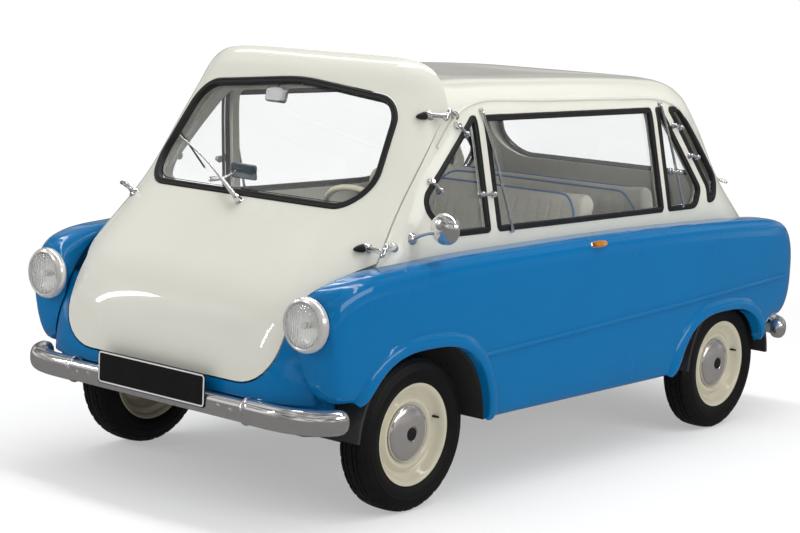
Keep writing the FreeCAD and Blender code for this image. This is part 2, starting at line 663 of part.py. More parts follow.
def hinge_pair(pin_point, along, door_skin, door_y, pillar_y, sign):
    """The door's half and the pillar's half of one hinge."""
    barrel_r = size("hinge_barrel")
    pin_r = size("hinge_pin")
    door_foot = skin_point(door_skin, door_y, pin_point.z, sign)
    inward = (door_foot - pin_point).normalize()
    door_half = Part.makeCylinder(barrel_r, KNUCKLE, pin_point - along * (KNUCKLE / 2), along)
    door_half = door_half.fuse(rod(pin_point, door_foot + inward * 10, 7))
    door_half = door_half.fuse(rod(door_foot - inward * 8, door_foot + inward * 14, 15))
    bore = Part.makeCylinder(pin_r + seat, 4 * KNUCKLE, pin_point - along * (2 * KNUCKLE), along)
    pillar_foot = skin_point(roof_skin, pillar_y, pin_point.z, sign)
    reach = (pillar_foot - pin_point).normalize()
    low = -(KNUCKLE / 2 + SIDE_PLAY + PIN_HEAD)
    high = KNUCKLE / 2 + SIDE_PLAY
    pillar_half = Part.makeCylinder(pin_r, high - low + EYE, pin_point + along * low, along)
    pillar_half = pillar_half.fuse(Part.makeCylinder(barrel_r - 2, PIN_HEAD, pin_point + along * low, along))
    pillar_half = pillar_half.fuse(Part.makeCylinder(barrel_r, EYE, pin_point + along * high, along))
    pillar_half = pillar_half.fuse(rod(pin_point + along * (high + EYE / 2), pillar_foot, 6.5))
    pillar_half = pillar_half.fuse(rod(pillar_foot - reach * 8, pillar_foot + reach * 14, 14))
    return door_half.cut(bore), pillar_half


low_pin = Vector(size("hinge_low_x"), -size("hinge_low_y"), size("hinge_low_z"))
top_pin = Vector(size("hinge_top_x"), -size("hinge_top_y"), size("hinge_top_z"))
pin_line = (top_pin - low_pin).normalize()
door_halves = []
rear_door_halves = []
pillar_halves = []
for pin_point, door_y, pillar_y in ((low_pin, -1068, -985), (top_pin, -760, -664)):
    door_half, pillar_half = hinge_pair(pin_point, pin_line, dome_skin, door_y, pillar_y, 1)
    door_halves.append(door_half)
    pillar_halves.append(pillar_half)
    rear_pin = Vector(-pin_point.x, -pin_point.y + REAR_SHIFT, pin_point.z)
    rear_line = Vector(-pin_line.x, -pin_line.y, pin_line.z)
    door_half, pillar_half = hinge_pair(rear_pin, rear_line, roof_skin, -door_y + REAR_SHIFT,
                                        -pillar_y + REAR_SHIFT, -1)
    rear_door_halves.append(door_half)
    pillar_halves.append(pillar_half)

# Handles. Each is a lever on a shank that stands out of its door.


def handle(skin, y, z, sign):
    foot = skin_point(skin, y, z, sign)
    near_y = skin_point(skin, y + 5, z, sign) - foot
    near_z = skin_point(skin, y, z + 5, sign) - foot
    outward = near_y.cross(near_z).normalize()
    if outward.x * sign < 0:
        outward = outward * -1
    level = Vector(0, 0, 1).cross(outward).normalize()
    if level.y * foot.y > 0:
        level = level * -1
    shape = rod(foot - outward * 12, foot + outward * 7, 19)
    shape = shape.fuse(rod(foot, foot + outward * 38, 8))
    return shape.fuse(rod(foot + outward * 34 - level * 14, foot + outward * 34 + level * 92, 6.5))


grown_dome = cabin_solid(dome_outline, -seat)
grown_roof = cabin_solid(roof_outline, -seat)
front_fittings = Part.makeCompound(door_halves + [handle(dome_skin, -1060, 902, -1)])
rear_fittings = Part.makeCompound(rear_door_halves + [handle(roof_skin, 1085, 902, 1)])
node("front_door_fittings", Part.makeCompound(front_fittings.cut(grown_dome).Solids))
node("rear_door_fittings", Part.makeCompound(rear_fittings.cut(grown_roof).Solids))
node("pillar_hinges", Part.makeCompound(Part.makeCompound(pillar_halves).cut(grown_roof).Solids))

# Wiper, parked across the windscreen.

wiper_foot = Vector(3, -1067, 928)
wiper_out = Vector(0, -0.72, 0.69)
wiper_tip = Vector(-380, -982, 1075)
wiper_knee = wiper_foot + wiper_out * 26
wiper_heel = wiper_knee + (wiper_tip - wiper_knee) * 0.42
wiper = rod(wiper_foot - wiper_out * 14, wiper_foot + wiper_out * 8, 12)
wiper = wiper.fuse(rod(wiper_foot, wiper_knee, 7))
wiper = wiper.fuse(rod(wiper_knee, wiper_tip, 4)).fuse(Part.makeSphere(8, wiper_knee))
blade_path = wiper_tip - wiper_heel
blade_frame = Rotation(Vector(1, 0, 0), blade_path)
blade = Part.makeBox(blade_path.Length, 7, 12, Vector(0, -3.5, -6))
blade.Placement = Placement(wiper_heel - wiper_out * 7, blade_frame)
wiper = wiper.fuse(blade).cut(grown_dome)
node("wiper", max(wiper.Solids, key=lambda s: s.Volume))

# Outside mirror, side markers and tail lamps.

mirror_foot = skin_point(roof_skin, -907, 865, 1)
mirror_head = Vector(700, -861, 904)
mirror_line = (mirror_head - mirror_foot).normalize()
mirror = rod(mirror_foot - mirror_line * 12, mirror_foot + mirror_line * 8, 14)
mirror = mirror.fuse(rod(mirror_foot, mirror_head, 6)).cut(grown_roof)
mirror_bowl = turned([(0, 0), (41, 0), (43, 4), (43, 9), (38, 18), (24, 27), (0, 31)],
                     mirror_head + Vector(0, 8, 0), Vector(0.1, -1, 0))
node("side_mirror", max(mirror.fuse(mirror_bowl).Solids, key=lambda s: s.Volume))

side_grown = Part.makeLoft([side_section(s, -seat) for s in SIDE_STATIONS], True, False)
marker = rod(Vector(690, -34, 790), Vector(726, -34, 796), 17)
marker = max(marker.cut(side_grown).Solids, key=lambda s: s.Volume)
node("side_markers", both_sides(marker))
tail = turned([(0, -20), (44, -20), (44, 10), (40, 14), (36, 26), (20, 34), (0, 37)],
              Vector(590, 1388, 590), Vector(0, 1, 0))
tail = max(tail.cut(side_grown).Solids, key=lambda s: s.Volume)
node("tail_lamps", both_sides(tail))

doc.recompute()
for obj in doc.Objects:
    if hasattr(obj, "Shape"):
        shape = obj.Shape
        print(obj.Label, shape.isValid(), len(shape.Solids), round(shape.Volume / 1e6, 2), "litres", len(shape.Faces))
        if "Invalid" in obj.State or shape.isNull() or not shape.isValid():
            raise RuntimeError("bad piece " + obj.Label)
        shape.exportStep("parts/%s.step" % obj.Label)
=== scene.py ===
import math

import bmesh
import bpy
import numpy as np
from mathutils import Matrix, Vector


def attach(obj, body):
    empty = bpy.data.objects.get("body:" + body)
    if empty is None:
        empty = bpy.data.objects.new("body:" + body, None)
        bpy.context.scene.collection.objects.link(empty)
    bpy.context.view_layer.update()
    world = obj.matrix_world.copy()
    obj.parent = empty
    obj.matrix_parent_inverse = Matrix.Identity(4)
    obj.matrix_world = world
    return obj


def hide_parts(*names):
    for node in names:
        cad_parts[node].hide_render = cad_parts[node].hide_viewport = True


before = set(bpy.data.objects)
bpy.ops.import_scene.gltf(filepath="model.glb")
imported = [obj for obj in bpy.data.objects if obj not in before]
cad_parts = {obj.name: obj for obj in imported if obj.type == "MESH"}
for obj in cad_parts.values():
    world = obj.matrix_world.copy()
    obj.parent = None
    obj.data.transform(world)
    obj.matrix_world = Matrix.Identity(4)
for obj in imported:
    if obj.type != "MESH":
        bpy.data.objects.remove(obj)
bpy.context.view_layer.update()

# Studio. A pale floor that runs out to white, three long lamps overhead, two narrow
# ones ahead and one at the left, and a long lens at the photograph's angle.
scene = bpy.context.scene
scene.view_settings.view_transform = "Standard"

CAMERA_PLACE = np.array([4.5203, -5.6169, 1.6982])
CAMERA_TURN = math.radians(40.056)
CAMERA_DROP = math.radians(8.556)
CAMERA_ROLL = math.radians(2.51)
FOCAL_PIXELS = 1989.0
PHOTO_WIDTH = 800
SENSOR_WIDTH = 36.0

sight = np.array([-math.sin(CAMERA_TURN) * math.cos(CAMERA_DROP),
                  math.cos(CAMERA_TURN) * math.cos(CAMERA_DROP), -math.sin(CAMERA_DROP)])
level = np.cross(sight, [0, 0, 1])
level /= np.linalg.norm(level)
upright = np.cross(level, sight)
roll_cos, roll_sin = math.cos(CAMERA_ROLL), math.sin(CAMERA_ROLL)
camera_x = roll_cos * level + roll_sin * upright
camera_y = -roll_sin * level + roll_cos * upright
camera_data = bpy.data.cameras.new("studio_camera")
camera_data.sensor_width = SENSOR_WIDTH
camera_data.lens = FOCAL_PIXELS / PHOTO_WIDTH * SENSOR_WIDTH
camera = bpy.data.objects.new("studio_camera", camera_data)
axes = np.column_stack([camera_x, camera_y, -sight])
pose = np.eye(4)
pose[:3, :3] = axes
pose[:3, 3] = CAMERA_PLACE
camera.matrix_world = Matrix(pose.tolist())
scene.collection.objects.link(camera)
scene.camera = camera


def wire(tree, joins):
    """Joins one node's output to another's input, row by row."""
    for source, out, target, into in joins:
        tree.links.new(source.outputs[out], target.inputs[into])


world = bpy.data.worlds.new("studio_world")
scene.world = world
world.use_nodes = True
nodes = world.node_tree.nodes
nodes.clear()
sky_out = nodes.new("ShaderNodeOutputWorld")
sky_mix = nodes.new("ShaderNodeMixShader")
hall_mix = nodes.new("ShaderNodeMixShader")
plain_sky, soft_sky, hall_sky = [nodes.new("ShaderNodeBackground") for _ in range(3)]
plain_sky.inputs["Color"].default_value = (1, 1, 1, 1)
for sky, strength in ((plain_sky, 1.0), (soft_sky, 0.72), (hall_sky, 0.80)):
    sky.inputs["Strength"].default_value = strength
ray_kind = nodes.new("ShaderNodeLightPath")
either = nodes.new("ShaderNodeMath")
either.operation = "MAXIMUM"
sky_place = nodes.new("ShaderNodeTexCoord")
sky_split = nodes.new("ShaderNodeSeparateXYZ")
sky_ramp = nodes.new("ShaderNodeValToRGB")
for stop, place, level in zip(sky_ramp.color_ramp.elements, (0.45, 0.75), (0.66, 1.0)):
    stop.position = place
    stop.color = (level, level, level, 1)
hall_stretch = nodes.new("ShaderNodeMapping")
hall_stretch.inputs["Scale"].default_value = (1.3, 1.3, 4.2)
hall_cloud = nodes.new("ShaderNodeTexNoise")
hall_cloud.inputs["Scale"].default_value = 1.9
hall_cloud.inputs["Detail"].default_value = 5.0
hall_ramp = nodes.new("ShaderNodeValToRGB")
for place, level in ((0.40, 0.10), (0.50, 0.34), (0.56, 0.62), (0.66, 1.0)):
    stop = hall_ramp.color_ramp.elements.new(place)
    stop.color = (level, level * 0.985, level * 0.97, 1)
hall_ramp.color_ramp.elements[-1].color = (1, 1, 1, 1)
wire(world.node_tree, [
    (sky_place, "Generated", sky_split, 0), (sky_split, "Z", sky_ramp, "Fac"),
    (sky_ramp, "Color", soft_sky, "Color"), (sky_place, "Generated", hall_stretch, "Vector"),
    (hall_stretch, 0, hall_cloud, "Vector"), (hall_cloud, "Fac", hall_ramp, "Fac"),
    (hall_ramp, "Color", hall_sky, "Color"), (ray_kind, "Is Glossy Ray", hall_mix, "Fac"),
    (soft_sky, 0, hall_mix, 1), (hall_sky, 0, hall_mix, 2),
    (ray_kind, "Is Camera Ray", either, 0), (ray_kind, "Is Transmission Ray", either, 1),
    (either, 0, sky_mix, "Fac"), (hall_mix, 0, sky_mix, 1), (plain_sky, 0, sky_mix, 2),
    (sky_mix, 0, sky_out, 0)])


def softbox(name, place, target, width, height, power):
    lamp_data = bpy.data.lights.new(name, "AREA")
    lamp_data.shape = "RECTANGLE"
    lamp_data.size = width
    lamp_data.size_y = height
    lamp_data.energy = power
    lamp = bpy.data.objects.new(name, lamp_data)
    lamp.location = place
    aim = Vector(target) - Vector(place)
    lamp.rotation_euler = aim.to_track_quat("-Z", "Y").to_euler()
    scene.collection.objects.link(lamp)


for row, x in enumerate((-1.1, 0.5, 2.1)):
    softbox("lamp_overhead_%d" % (row + 1), (x, 0.1, 4.6), (0, 0, 0.8), 0.34, 5.2, 47)
softbox("lamp_front_one", (-2.2, -5.0, 2.5), (0, -0.3, 0.8), 0.11, 1.5, 22)
softbox("lamp_front_two", (-3.9, -4.0, 2.5), (0, -0.3, 0.8), 0.11, 1.1, 22)
softbox("lamp_left", (5.6, 0.4, 2.5), (0, 0, 0.7), 4.4, 1.1, 58)

FLOOR_REACH = 60
corners = [(-FLOOR_REACH, -FLOOR_REACH, 0), (FLOOR_REACH, -FLOOR_REACH, 0),
           (FLOOR_REACH, FLOOR_REACH, 0), (-FLOOR_REACH, FLOOR_REACH, 0)]
floor_mesh = bpy.data.meshes.new("studio_floor")
floor_mesh.from_pydata(corners, [], [(0, 1, 2, 3)])
floor = bpy.data.objects.new("studio_floor", floor_mesh)
scene.collection.objects.link(floor)
floor_look = bpy.data.materials.new("studio_floor")
floor_look.use_nodes = True
nodes = floor_look.node_tree.nodes
nodes.clear()
floor_out = nodes.new("ShaderNodeOutputMaterial")
floor_mix = nodes.new("ShaderNodeMixShader")
floor_mirrored = nodes.new("ShaderNodeMixShader")
floor_lit = nodes.new("ShaderNodeBsdfDiffuse")
floor_lit.inputs["Color"].default_value = (0.97, 0.97, 0.97, 1)
floor_white = nodes.new("ShaderNodeEmission")
floor_white.inputs["Strength"].default_value = 1.06
floor_hall = nodes.new("ShaderNodeEmission")
floor_hall.inputs["Color"].default_value = (0.150, 0.146, 0.142, 1)
floor_rays = nodes.new("ShaderNodeLightPath")
floor_place = nodes.new("ShaderNodeTexCoord")
floor_reach = nodes.new("ShaderNodeVectorMath")
floor_reach.operation = "LENGTH"
floor_share = nodes.new("ShaderNodeMapRange")
for socket, value in (("From Min", 2.4), ("From Max", 5.5), ("To Min", 0.36), ("To Max", 1.0)):
    floor_share.inputs[socket].default_value = value
floor_seen = nodes.new("ShaderNodeMath")
floor_seen.operation = "MAXIMUM"
floor_weight = nodes.new("ShaderNodeMath")
floor_weight.operation = "MULTIPLY"
wire(floor_look.node_tree, [
    (floor_place, "Object", floor_reach, 0), (floor_reach, "Value", floor_share, "Value"),
    (floor_rays, "Is Camera Ray", floor_seen, 0), (floor_rays, "Is Transmission Ray", floor_seen, 1),
    (floor_share, "Result", floor_weight, 0), (floor_seen, 0, floor_weight, 1),
    (floor_rays, "Is Glossy Ray", floor_mirrored, "Fac"), (floor_lit, 0, floor_mirrored, 1),
    (floor_hall, 0, floor_mirrored, 2), (floor_weight, 0, floor_mix, "Fac"),
    (floor_mirrored, 0, floor_mix, 1), (floor_white, 0, floor_mix, 2), (floor_mix, 0, floor_out, 0)])
floor_mesh.materials.append(floor_look)

# Cabin form. The side outline is one curve; every other section is that curve
# shrunk towards the cabin's middle, which leaves flat sides with soft corners.
BODY_END = 1.385
CABIN_MIDDLE = 0.750
CABIN_HALF_WIDTH = 0.631
TUMBLEHOME = 0.098
BELT_HEIGHT = 0.812
CORNER_POWER = 8
FLAT_SHARE = 0.975

lower_line = [(0, 0.300), (-0.005, 0.450), (0.009, 0.535), (0.051, 0.640), (0.124, 0.738), (0.234, 0.846),
              (0.334, 0.945), (0.402, 1.030), (0.472, 1.135)]
dome_rise = [(0.540, 1.238), (0.598, 1.325), (0.640, 1.382), (0.700, 1.414), (0.780, 1.420)]
roof_rise = [(0.545, 1.228), (0.605, 1.290), (0.690, 1.332)]
rear_rise = [(0.540, 1.222), (0.600, 1.285), (0.680, 1.324)]
dome_roof = [(-0.100, 1.346), (0.350, 1.343)]
plain_roof = [(-0.590, 1.341), (-0.400, 1.345), (-0.100, 1.346), (0.200, 1.345), (0.450, 1.341),
              (0.600, 1.336)]


def smooth_line(points, count):
    """A smooth curve through the points, with its points evenly spaced."""
    points = np.array(points, float)
    steps = np.r_[0, np.cumsum(np.linalg.norm(np.diff(points, axis=0), axis=1))]
    gaps = np.diff(steps)
    size = len(points)
    system = np.zeros((size, size))
    slopes = np.zeros((size, points.shape[1]))
    system[0, 0] = system[-1, -1] = 1
    for k in range(1, size - 1):
        system[k, k - 1:k + 2] = gaps[k - 1], 2 * (gaps[k - 1] + gaps[k]), gaps[k]
        slopes[k] = 6 * ((points[k + 1] - points[k]) / gaps[k] - (points[k] - points[k - 1]) / gaps[k - 1])
    bends = np.linalg.solve(system, slopes)
    at = np.linspace(0, steps[-1], count)
    k = np.clip(np.searchsorted(steps, at, side="right") - 1, 0, size - 2)
    h = gaps[k][:, None]
    left = (steps[k + 1] - at)[:, None]
    right = (at - steps[k])[:, None]
    curve = bends[k] * left ** 3 / (6 * h) + bends[k + 1] * right ** 3 / (6 * h)
    curve += (points[k] / h - bends[k] * h / 6) * left
    return curve + (points[k + 1] / h - bends[k + 1] * h / 6) * right


def side_outline(front, roof):
    ahead = [(d - BODY_END, z) for d, z in lower_line + front]
    behind = [(BODY_END - d, z) for d, z in lower_line + rear_rise]
    return smooth_line(ahead + roof + behind[::-1], 1200)


def angle_round(y, z):
    """Angle of a side-view point round the cabin's middle, from the front."""
    angle = np.arctan2(z - CABIN_MIDDLE, -y)
    return np.where(angle < -math.pi / 2, angle + 2 * math.pi, angle)


def reach_table(outline):
    angle = angle_round(outline[:, 0], outline[:, 1])
    order = np.argsort(angle)
    return angle[order], np.hypot(outline[:, 0], outline[:, 1] - CABIN_MIDDLE)[order]


dome_line = side_outline(dome_rise, dome_roof)
roof_line = side_outline(roof_rise, plain_roof)
dome_table = reach_table(dome_line)
roof_table = reach_table(roof_line)


def half_width(z):
    return CABIN_HALF_WIDTH - TUMBLEHOME * (z - BELT_HEIGHT)


def share_out(y, z, table, inset=0.0):
    """How far out a side-view point lies: 1 on the outline, 0 in the middle."""
    return (np.hypot(y, z - CABIN_MIDDLE) + inset) / np.interp(angle_round(y, z), *table)


def rounded(share):
    """How far out one direction may go, where the other is that far out."""
    return (1 - np.clip(share, 0, 1) ** CORNER_POWER) ** (1 / CORNER_POWER)


def share_across(out):
    """Half width, as a share of the full one, where the side view says 'out'."""
    round_share = rounded(out)
    blend = 0.02
    near = np.maximum(blend - np.abs(round_share - FLAT_SHARE), 0) / blend
    return np.minimum(round_share, FLAT_SHARE) - near ** 2 * blend / 4


def side_point(y, z, table, inset=0.0, side=1):
    y, z = np.asarray(y, float), np.asarray(z, float)
    x = share_across(share_out(y, z, table, inset)) * (half_width(z) - inset)
    return np.stack([side * x, y, z], -1)


def end_point(x, z, table, inset=0.0, end=-1):
    """Point of the skin at the front (end -1) or the back (end 1)."""
    x, z = np.asarray(x, float), np.asarray(z, float)
    aim = rounded(np.abs(x) / (half_width(z) - inset))
    near, far = np.full(x.shape, 0.2), np.full(x.shape, 1.6)
    for _ in range(40):
        middle = (near + far) / 2
        outside = share_out(end * middle, z, table, inset) > aim
        far = np.where(outside, middle, far)
        near = np.where(outside, near, middle)
    return np.stack([x, end * near, z], -1)


def skin_normal(points, table, inset=0.0):
    """Outward direction of the cabin's skin at points on it."""
    x, y, z = points[:, 0], points[:, 1], points[:, 2]
    step = 0.0005
    out = share_out(y, z, table, inset)
    wide = half_width(z) - inset
    across = np.abs(x) / wide
    out_y = (share_out(y + step, z, table, inset) - out) / step
    out_z = (share_out(y, z + step, table, inset) - out) / step
    bend = out ** (CORNER_POWER - 1)
    round_n = np.stack([np.sign(x) * across ** (CORNER_POWER - 1) / wide, bend * out_y,
                        bend * out_z + across ** CORNER_POWER * TUMBLEHOME / wide], -1)
    flat_n = np.stack([np.sign(x), np.zeros_like(x), np.full_like(x, TUMBLEHOME)], -1)
    round_n /= np.linalg.norm(round_n, axis=1)[:, None] + 1e-12
    flat_n /= np.linalg.norm(flat_n, axis=1)[:, None]
    lean = np.clip((FLAT_SHARE + 0.012 - rounded(out)) / 0.024, 0, 1)
    lean = (lean * lean * (3 - 2 * lean))[:, None]
    lean = np.where((across > 0.5)[:, None], lean, 1.0)
    normal = round_n * lean + flat_n * (1 - lean)
    return normal / np.linalg.norm(normal, axis=1)[:, None]


def new_piece(name, verts, faces):
    mesh = bpy.data.meshes.new(name)
    mesh.from_pydata([tuple(v) for v in verts], [], faces)
    mesh.update()
    piece = bpy.data.objects.new(name, mesh)
    scene.collection.objects.link(piece)
    return piece


def tidied(piece, merge=0.0):
    """Turns all faces outward, after points nearer than 'merge' are made one."""
    work = bmesh.new()
    work.from_mesh(piece.data)
    if merge:
        bmesh.ops.remove_doubles(work, verts=work.verts, dist=merge)
    bmesh.ops.recalc_face_normals(work, faces=work.faces)
    work.to_mesh(piece.data)
    work.free()
    return piece


def grid_faces(rows, columns, offset=0, flip=False):
    faces = []
    for i in range(rows - 1):
        for j in range(columns - 1):
            a = offset + i * columns + j
            quad = (a, a + 1, a + columns + 1, a + columns)
            faces.append(quad[::-1] if flip else quad)
    return faces


def shell_solid(name, line, thick, spacing, depth=0.0):
    """Closed curved shell: the skin along part of the side outline, its inner
    face and the edges between them."""
    length = np.linalg.norm(np.diff(line, axis=0), axis=1).sum()
    rows = int(length / spacing)
    pick = np.linspace(0, len(line) - 1, rows).astype(int)
    run = line[pick]
    columns = int(0.55 / spacing)
    cross = [(c, rounded(c)) for c in np.linspace(0, 0.80, columns)]
    cross += [(c, rounded(c)) for c in 1 - 0.2 * np.linspace(1, 0.16, 22)[1:] ** 1.25]
    cross += [(None, out) for out in np.linspace(cross[-1][1], 0.05, int(0.9 / spacing))[1:]]
    half = []
    for c, out in cross:
        half.append((float(share_across(np.array(out))) if c is None or c > 0.93 else c, out))
    profile = [(-c, out) for c, out in reversed(half[1:])] + half
    verts = []
    reach = np.hypot(run[:, 0], run[:, 1] - CABIN_MIDDLE)
    for inset in (depth, depth + thick):
        for (y, z), r in zip(run, reach):
            for c, out in profile:
                scale = (out * r - inset) / r
                zz = CABIN_MIDDLE + (z - CABIN_MIDDLE) * scale
                verts.append((c * (half_width(zz) - inset), y * scale, zz))
    wide = len(profile)
    count = rows * wide
    faces = grid_faces(rows, wide) + grid_faces(rows, wide, count, True)
    for i in range(rows - 1):
        for j in (0, wide - 1):
            a, b = i * wide + j, (i + 1) * wide + j
            quad = (a, b, b + count, a + count)
            faces.append(quad if j == 0 else quad[::-1])
    for j in range(wide - 1):
        for i in (0, rows - 1):
            a, b = i * wide + j, i * wide + j + 1
            quad = (a, a + count, b + count, b)
            faces.append(quad if i == 0 else quad[::-1])
    return tidied(new_piece(name, verts, faces))


def rounded_outline(points, radii, steps=9):
    """Polygon with its corners rounded, as plain (a, b) points."""
    points = [np.array(p, float) for p in points]
    line = []
    for k, here in enumerate(points):
        back = points[k - 1] - here
        ahead = points[(k + 1) % len(points)] - here
        back /= np.linalg.norm(back)
        ahead /= np.linalg.norm(ahead)
        half = math.acos(np.clip(back @ ahead, -1, 1)) / 2
        reach = radii[k] / math.tan(half)
        middle = here + (back + ahead) / np.linalg.norm(back + ahead) * (radii[k] / math.sin(half))
        first, last = here + back * reach - middle, here + ahead * reach - middle
        start = math.atan2(first[1], first[0])
        sweep = (math.atan2(last[1], last[0]) - start + math.pi) % (2 * math.pi) - math.pi
        for t in np.linspace(0, 1, steps):
            turn = start + sweep * t
            line.append(middle + radii[k] * np.array([math.cos(turn), math.sin(turn)]))
    return np.array(line)


def prism(name, outline, across, start, end):
    """Outline (y, z) run along X, or (x, z) run along Y."""
    count = len(outline)
    if across == "X":
        verts = [(s, a, b) for s in (start, end) for a, b in outline]
    else:
        verts = [(a, s, b) for s in (start, end) for a, b in outline]
    faces = [tuple(range(count)), tuple(range(2 * count - 1, count - 1, -1))]
    for k in range(count):
        n = (k + 1) % count
        faces.append((k, k + count, n + count, n))
    return tidied(new_piece(name, verts, faces))


def settle(piece):
    """Applies a piece's modifiers to its mesh."""
    depsgraph = bpy.context.evaluated_depsgraph_get()
    mesh = bpy.data.meshes.new_from_object(piece.evaluated_get(depsgraph))
    piece.modifiers.clear()
    old = piece.data
    piece.data = mesh
    bpy.data.meshes.remove(old)


def carve(piece, tool, kind):
    """Cuts a piece with a tool, which is used up."""
    step = piece.modifiers.new("carve", "BOOLEAN")
    step.operation = kind
    step.solver = "EXACT"
    step.object = tool
    settle(piece)
    bpy.data.objects.remove(tool)
    return piece


def read_out(items, field, wide=3):
    """One field of all of a mesh's points, faces or corners."""
    values = np.empty(len(items) * wide, float if wide > 1 else int)
    items.foreach_get(field, values)
    return values.reshape(-1, wide) if wide > 1 else values


def polish(piece, normal_of, smooth_angle=0.35):
    """Gives every corner on a smooth surface that surface's true direction."""
    mesh = piece.data
    mesh.polygons.foreach_set("use_smooth", [True] * len(mesh.polygons))
    face_n = read_out(mesh.polygons, "normal")
    totals = read_out(mesh.polygons, "loop_total", 1)
    face_of = np.repeat(np.arange(len(totals)), totals)
    corner = normal_of(read_out(mesh.vertices, "co"))[read_out(mesh.loops, "vertex_index", 1)]
    agree = np.einsum("ij,ij->i", corner, face_n[face_of])
    limit = math.cos(smooth_angle)
    result = np.where((agree > limit)[:, None], corner, face_n[face_of])
    result = np.where((agree < -limit)[:, None], -corner, result)
    mesh.normals_split_custom_set([tuple(n) for n in result])


# Paint. Old two-tone enamel: a soft cream and a bright blue, both thick and
# glossy, with a faint orange peel and a little unevenness in the colour.


def finish(name, color, shade, cloud, grain, relief, wear, worn_by_grain=False, sockets=()):
    """Procedural surface: two clouded colours, uneven roughness and, with a grain,
    fine relief. Cloud and grain are a noise's scale and detail."""
    look = bpy.data.materials.new(name)
    look.use_nodes = True
    nodes = look.node_tree.nodes
    skin = nodes["Principled BSDF"]
    for socket, value in sockets:
        skin.inputs[socket].default_value = value
    place = nodes.new("ShaderNodeTexCoord")
    noises = []
    for scale, detail in (cloud, grain) if grain else (cloud,):
        noise = nodes.new("ShaderNodeTexNoise")
        noise.inputs["Scale"].default_value = scale
        noise.inputs["Detail"].default_value = detail
        wire(look.node_tree, [(place, "Object", noise, "Vector")])
        noises.append(noise)
    tint = nodes.new("ShaderNodeMix")
    tint.data_type = "RGBA"
    tint.inputs[6].default_value = (*color, 1)
    tint.inputs[7].default_value = (*shade, 1)
    worn = nodes.new("ShaderNodeMapRange")
    worn.inputs["To Min"].default_value, worn.inputs["To Max"].default_value = wear
    wire(look.node_tree, [
        (noises[0], "Fac", tint, "Factor"), (tint, 2, skin, "Base Color"),
        (noises[-1 if worn_by_grain else 0], "Fac", worn, "Value"),
        (worn, "Result", skin, "Roughness")])
    if grain:
        ripple = nodes.new("ShaderNodeBump")
        ripple.inputs["Strength"].default_value, ripple.inputs["Distance"].default_value = relief
        wire(look.node_tree, [(noises[1], "Fac", ripple, "Height"), (ripple, "Normal", skin, "Normal")])
    return look


def enamel(name, color, shade, peel=0.018, cloud_scale=3.0):
    return finish(name, color, shade, (cloud_scale, 3.0), (420.0, 1.0), (peel, 0.002), (0.20, 0.32),
                  sockets=(("Specular IOR Level", 0.08), ("Coat IOR", 1.40), ("Coat Weight", 0.8),
                           ("Coat Roughness", 0.035)))


cream_look = enamel("cream_enamel", (0.74, 0.735, 0.66), (0.70, 0.69, 0.61))
blue_look = enamel("blue_enamel", (0.0004, 0.157, 0.400), (0.0002, 0.140, 0.365))

# Front door. The whole nose of the cabin is one door: a thick curved shell from
# the bumper to the dome, with the windscreen cut in it.
DOOR_WALL = 0.035
PANEL_SPACING = 0.0125
DOOR_BOTTOM = 0.432
DOOR_HALF = 0.485
DOOR_SHOULDER = 0.602
FRONT_SCREEN_TOP = 1.330
REAR_SCREEN_TOP = 1.250
shut_line = [(-0.695, 1.700), (-0.695, 1.262), (-1.055, 0.806), (-1.195, 0.620), (-1.285, 0.380),
             (-1.785, 0.380), (-1.785, 1.700)]
right_edge = [(DOOR_HALF - 0.012, DOOR_BOTTOM), (DOOR_HALF, 0.600), (DOOR_HALF + 0.012, 0.700),
              (DOOR_SHOULDER, BELT_HEIGHT - 0.006), (0.760, BELT_HEIGHT - 0.006), (0.760, 1.700)]
edge_radii = [0.150, 0.030, 0.030, 0.001, 0.001, 0.001]


def door_outline(grow=0.0):
    right = [(x + grow, z - (grow if z < 0.5 else 0)) for x, z in right_edge]
    points = right + [(-x, z) for x, z in reversed(right)]
    radii = [edge_radii[0] + grow] + edge_radii[1:]
    return rounded_outline(points, radii + radii[::-1])


def screen_outline(inset, top):
    foot, head, low, high = 0.510 - inset, 0.454 - inset, 0.943 + inset, top - inset
    corner = 0.105 - inset
    points = [(-foot, low), (foot, low), (head, high - 0.040), (0, high), (-head, high - 0.040)]
    return rounded_outline(points, [corner, corner, 0.112 - inset, 0.9, 0.112 - inset], 13)


def door_zone(name, shut, screen_top, start, end):
    zone = prism(name, door_outline(), "Y", start, end)
    carve(zone, prism("shut_tool", shut, "X", -0.9, 0.9), "INTERSECT")
    return carve(zone, prism("screen_tool", screen_outline(0.0, screen_top), "Y", start - 0.1, end + 0.1),
                 "DIFFERENCE")


def skin_of(table, inset=0.0):
    return lambda points: skin_normal(points, table, inset)


front_part = dome_line[dome_line[:, 0] < -0.60]
front_door = shell_solid("front_door_skin", front_part, DOOR_WALL, PANEL_SPACING)
carve(front_door, door_zone("front_zone", shut_line, FRONT_SCREEN_TOP, -1.7, -0.5), "INTERSECT")
polish(front_door, skin_of(dome_table))
front_door.data.materials.append(cream_look)
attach(front_door, "front_door")
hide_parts("front_door_shell")

# Rear door. The same thick shell as the front one, in cream down to the apron, but
# it follows the plain roof line and carries the rear window.
rear_shut = [(0.720, 1.700), (0.720, 1.262), (1.080, 0.806), (1.195, 0.620), (1.285, 0.380),
             (1.785, 0.380), (1.785, 1.700)]
rear_part = roof_line[roof_line[:, 0] > 0.60][::-1]
rear_door = shell_solid("rear_door_skin", rear_part, DOOR_WALL, PANEL_SPACING)
carve(rear_door, door_zone("rear_zone", rear_shut, REAR_SCREEN_TOP, 0.5, 1.7), "INTERSECT")
polish(rear_door, skin_of(roof_table))
rear_door.data.materials.append(cream_look)
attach(rear_door, "rear_door")
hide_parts("rear_door_shell")

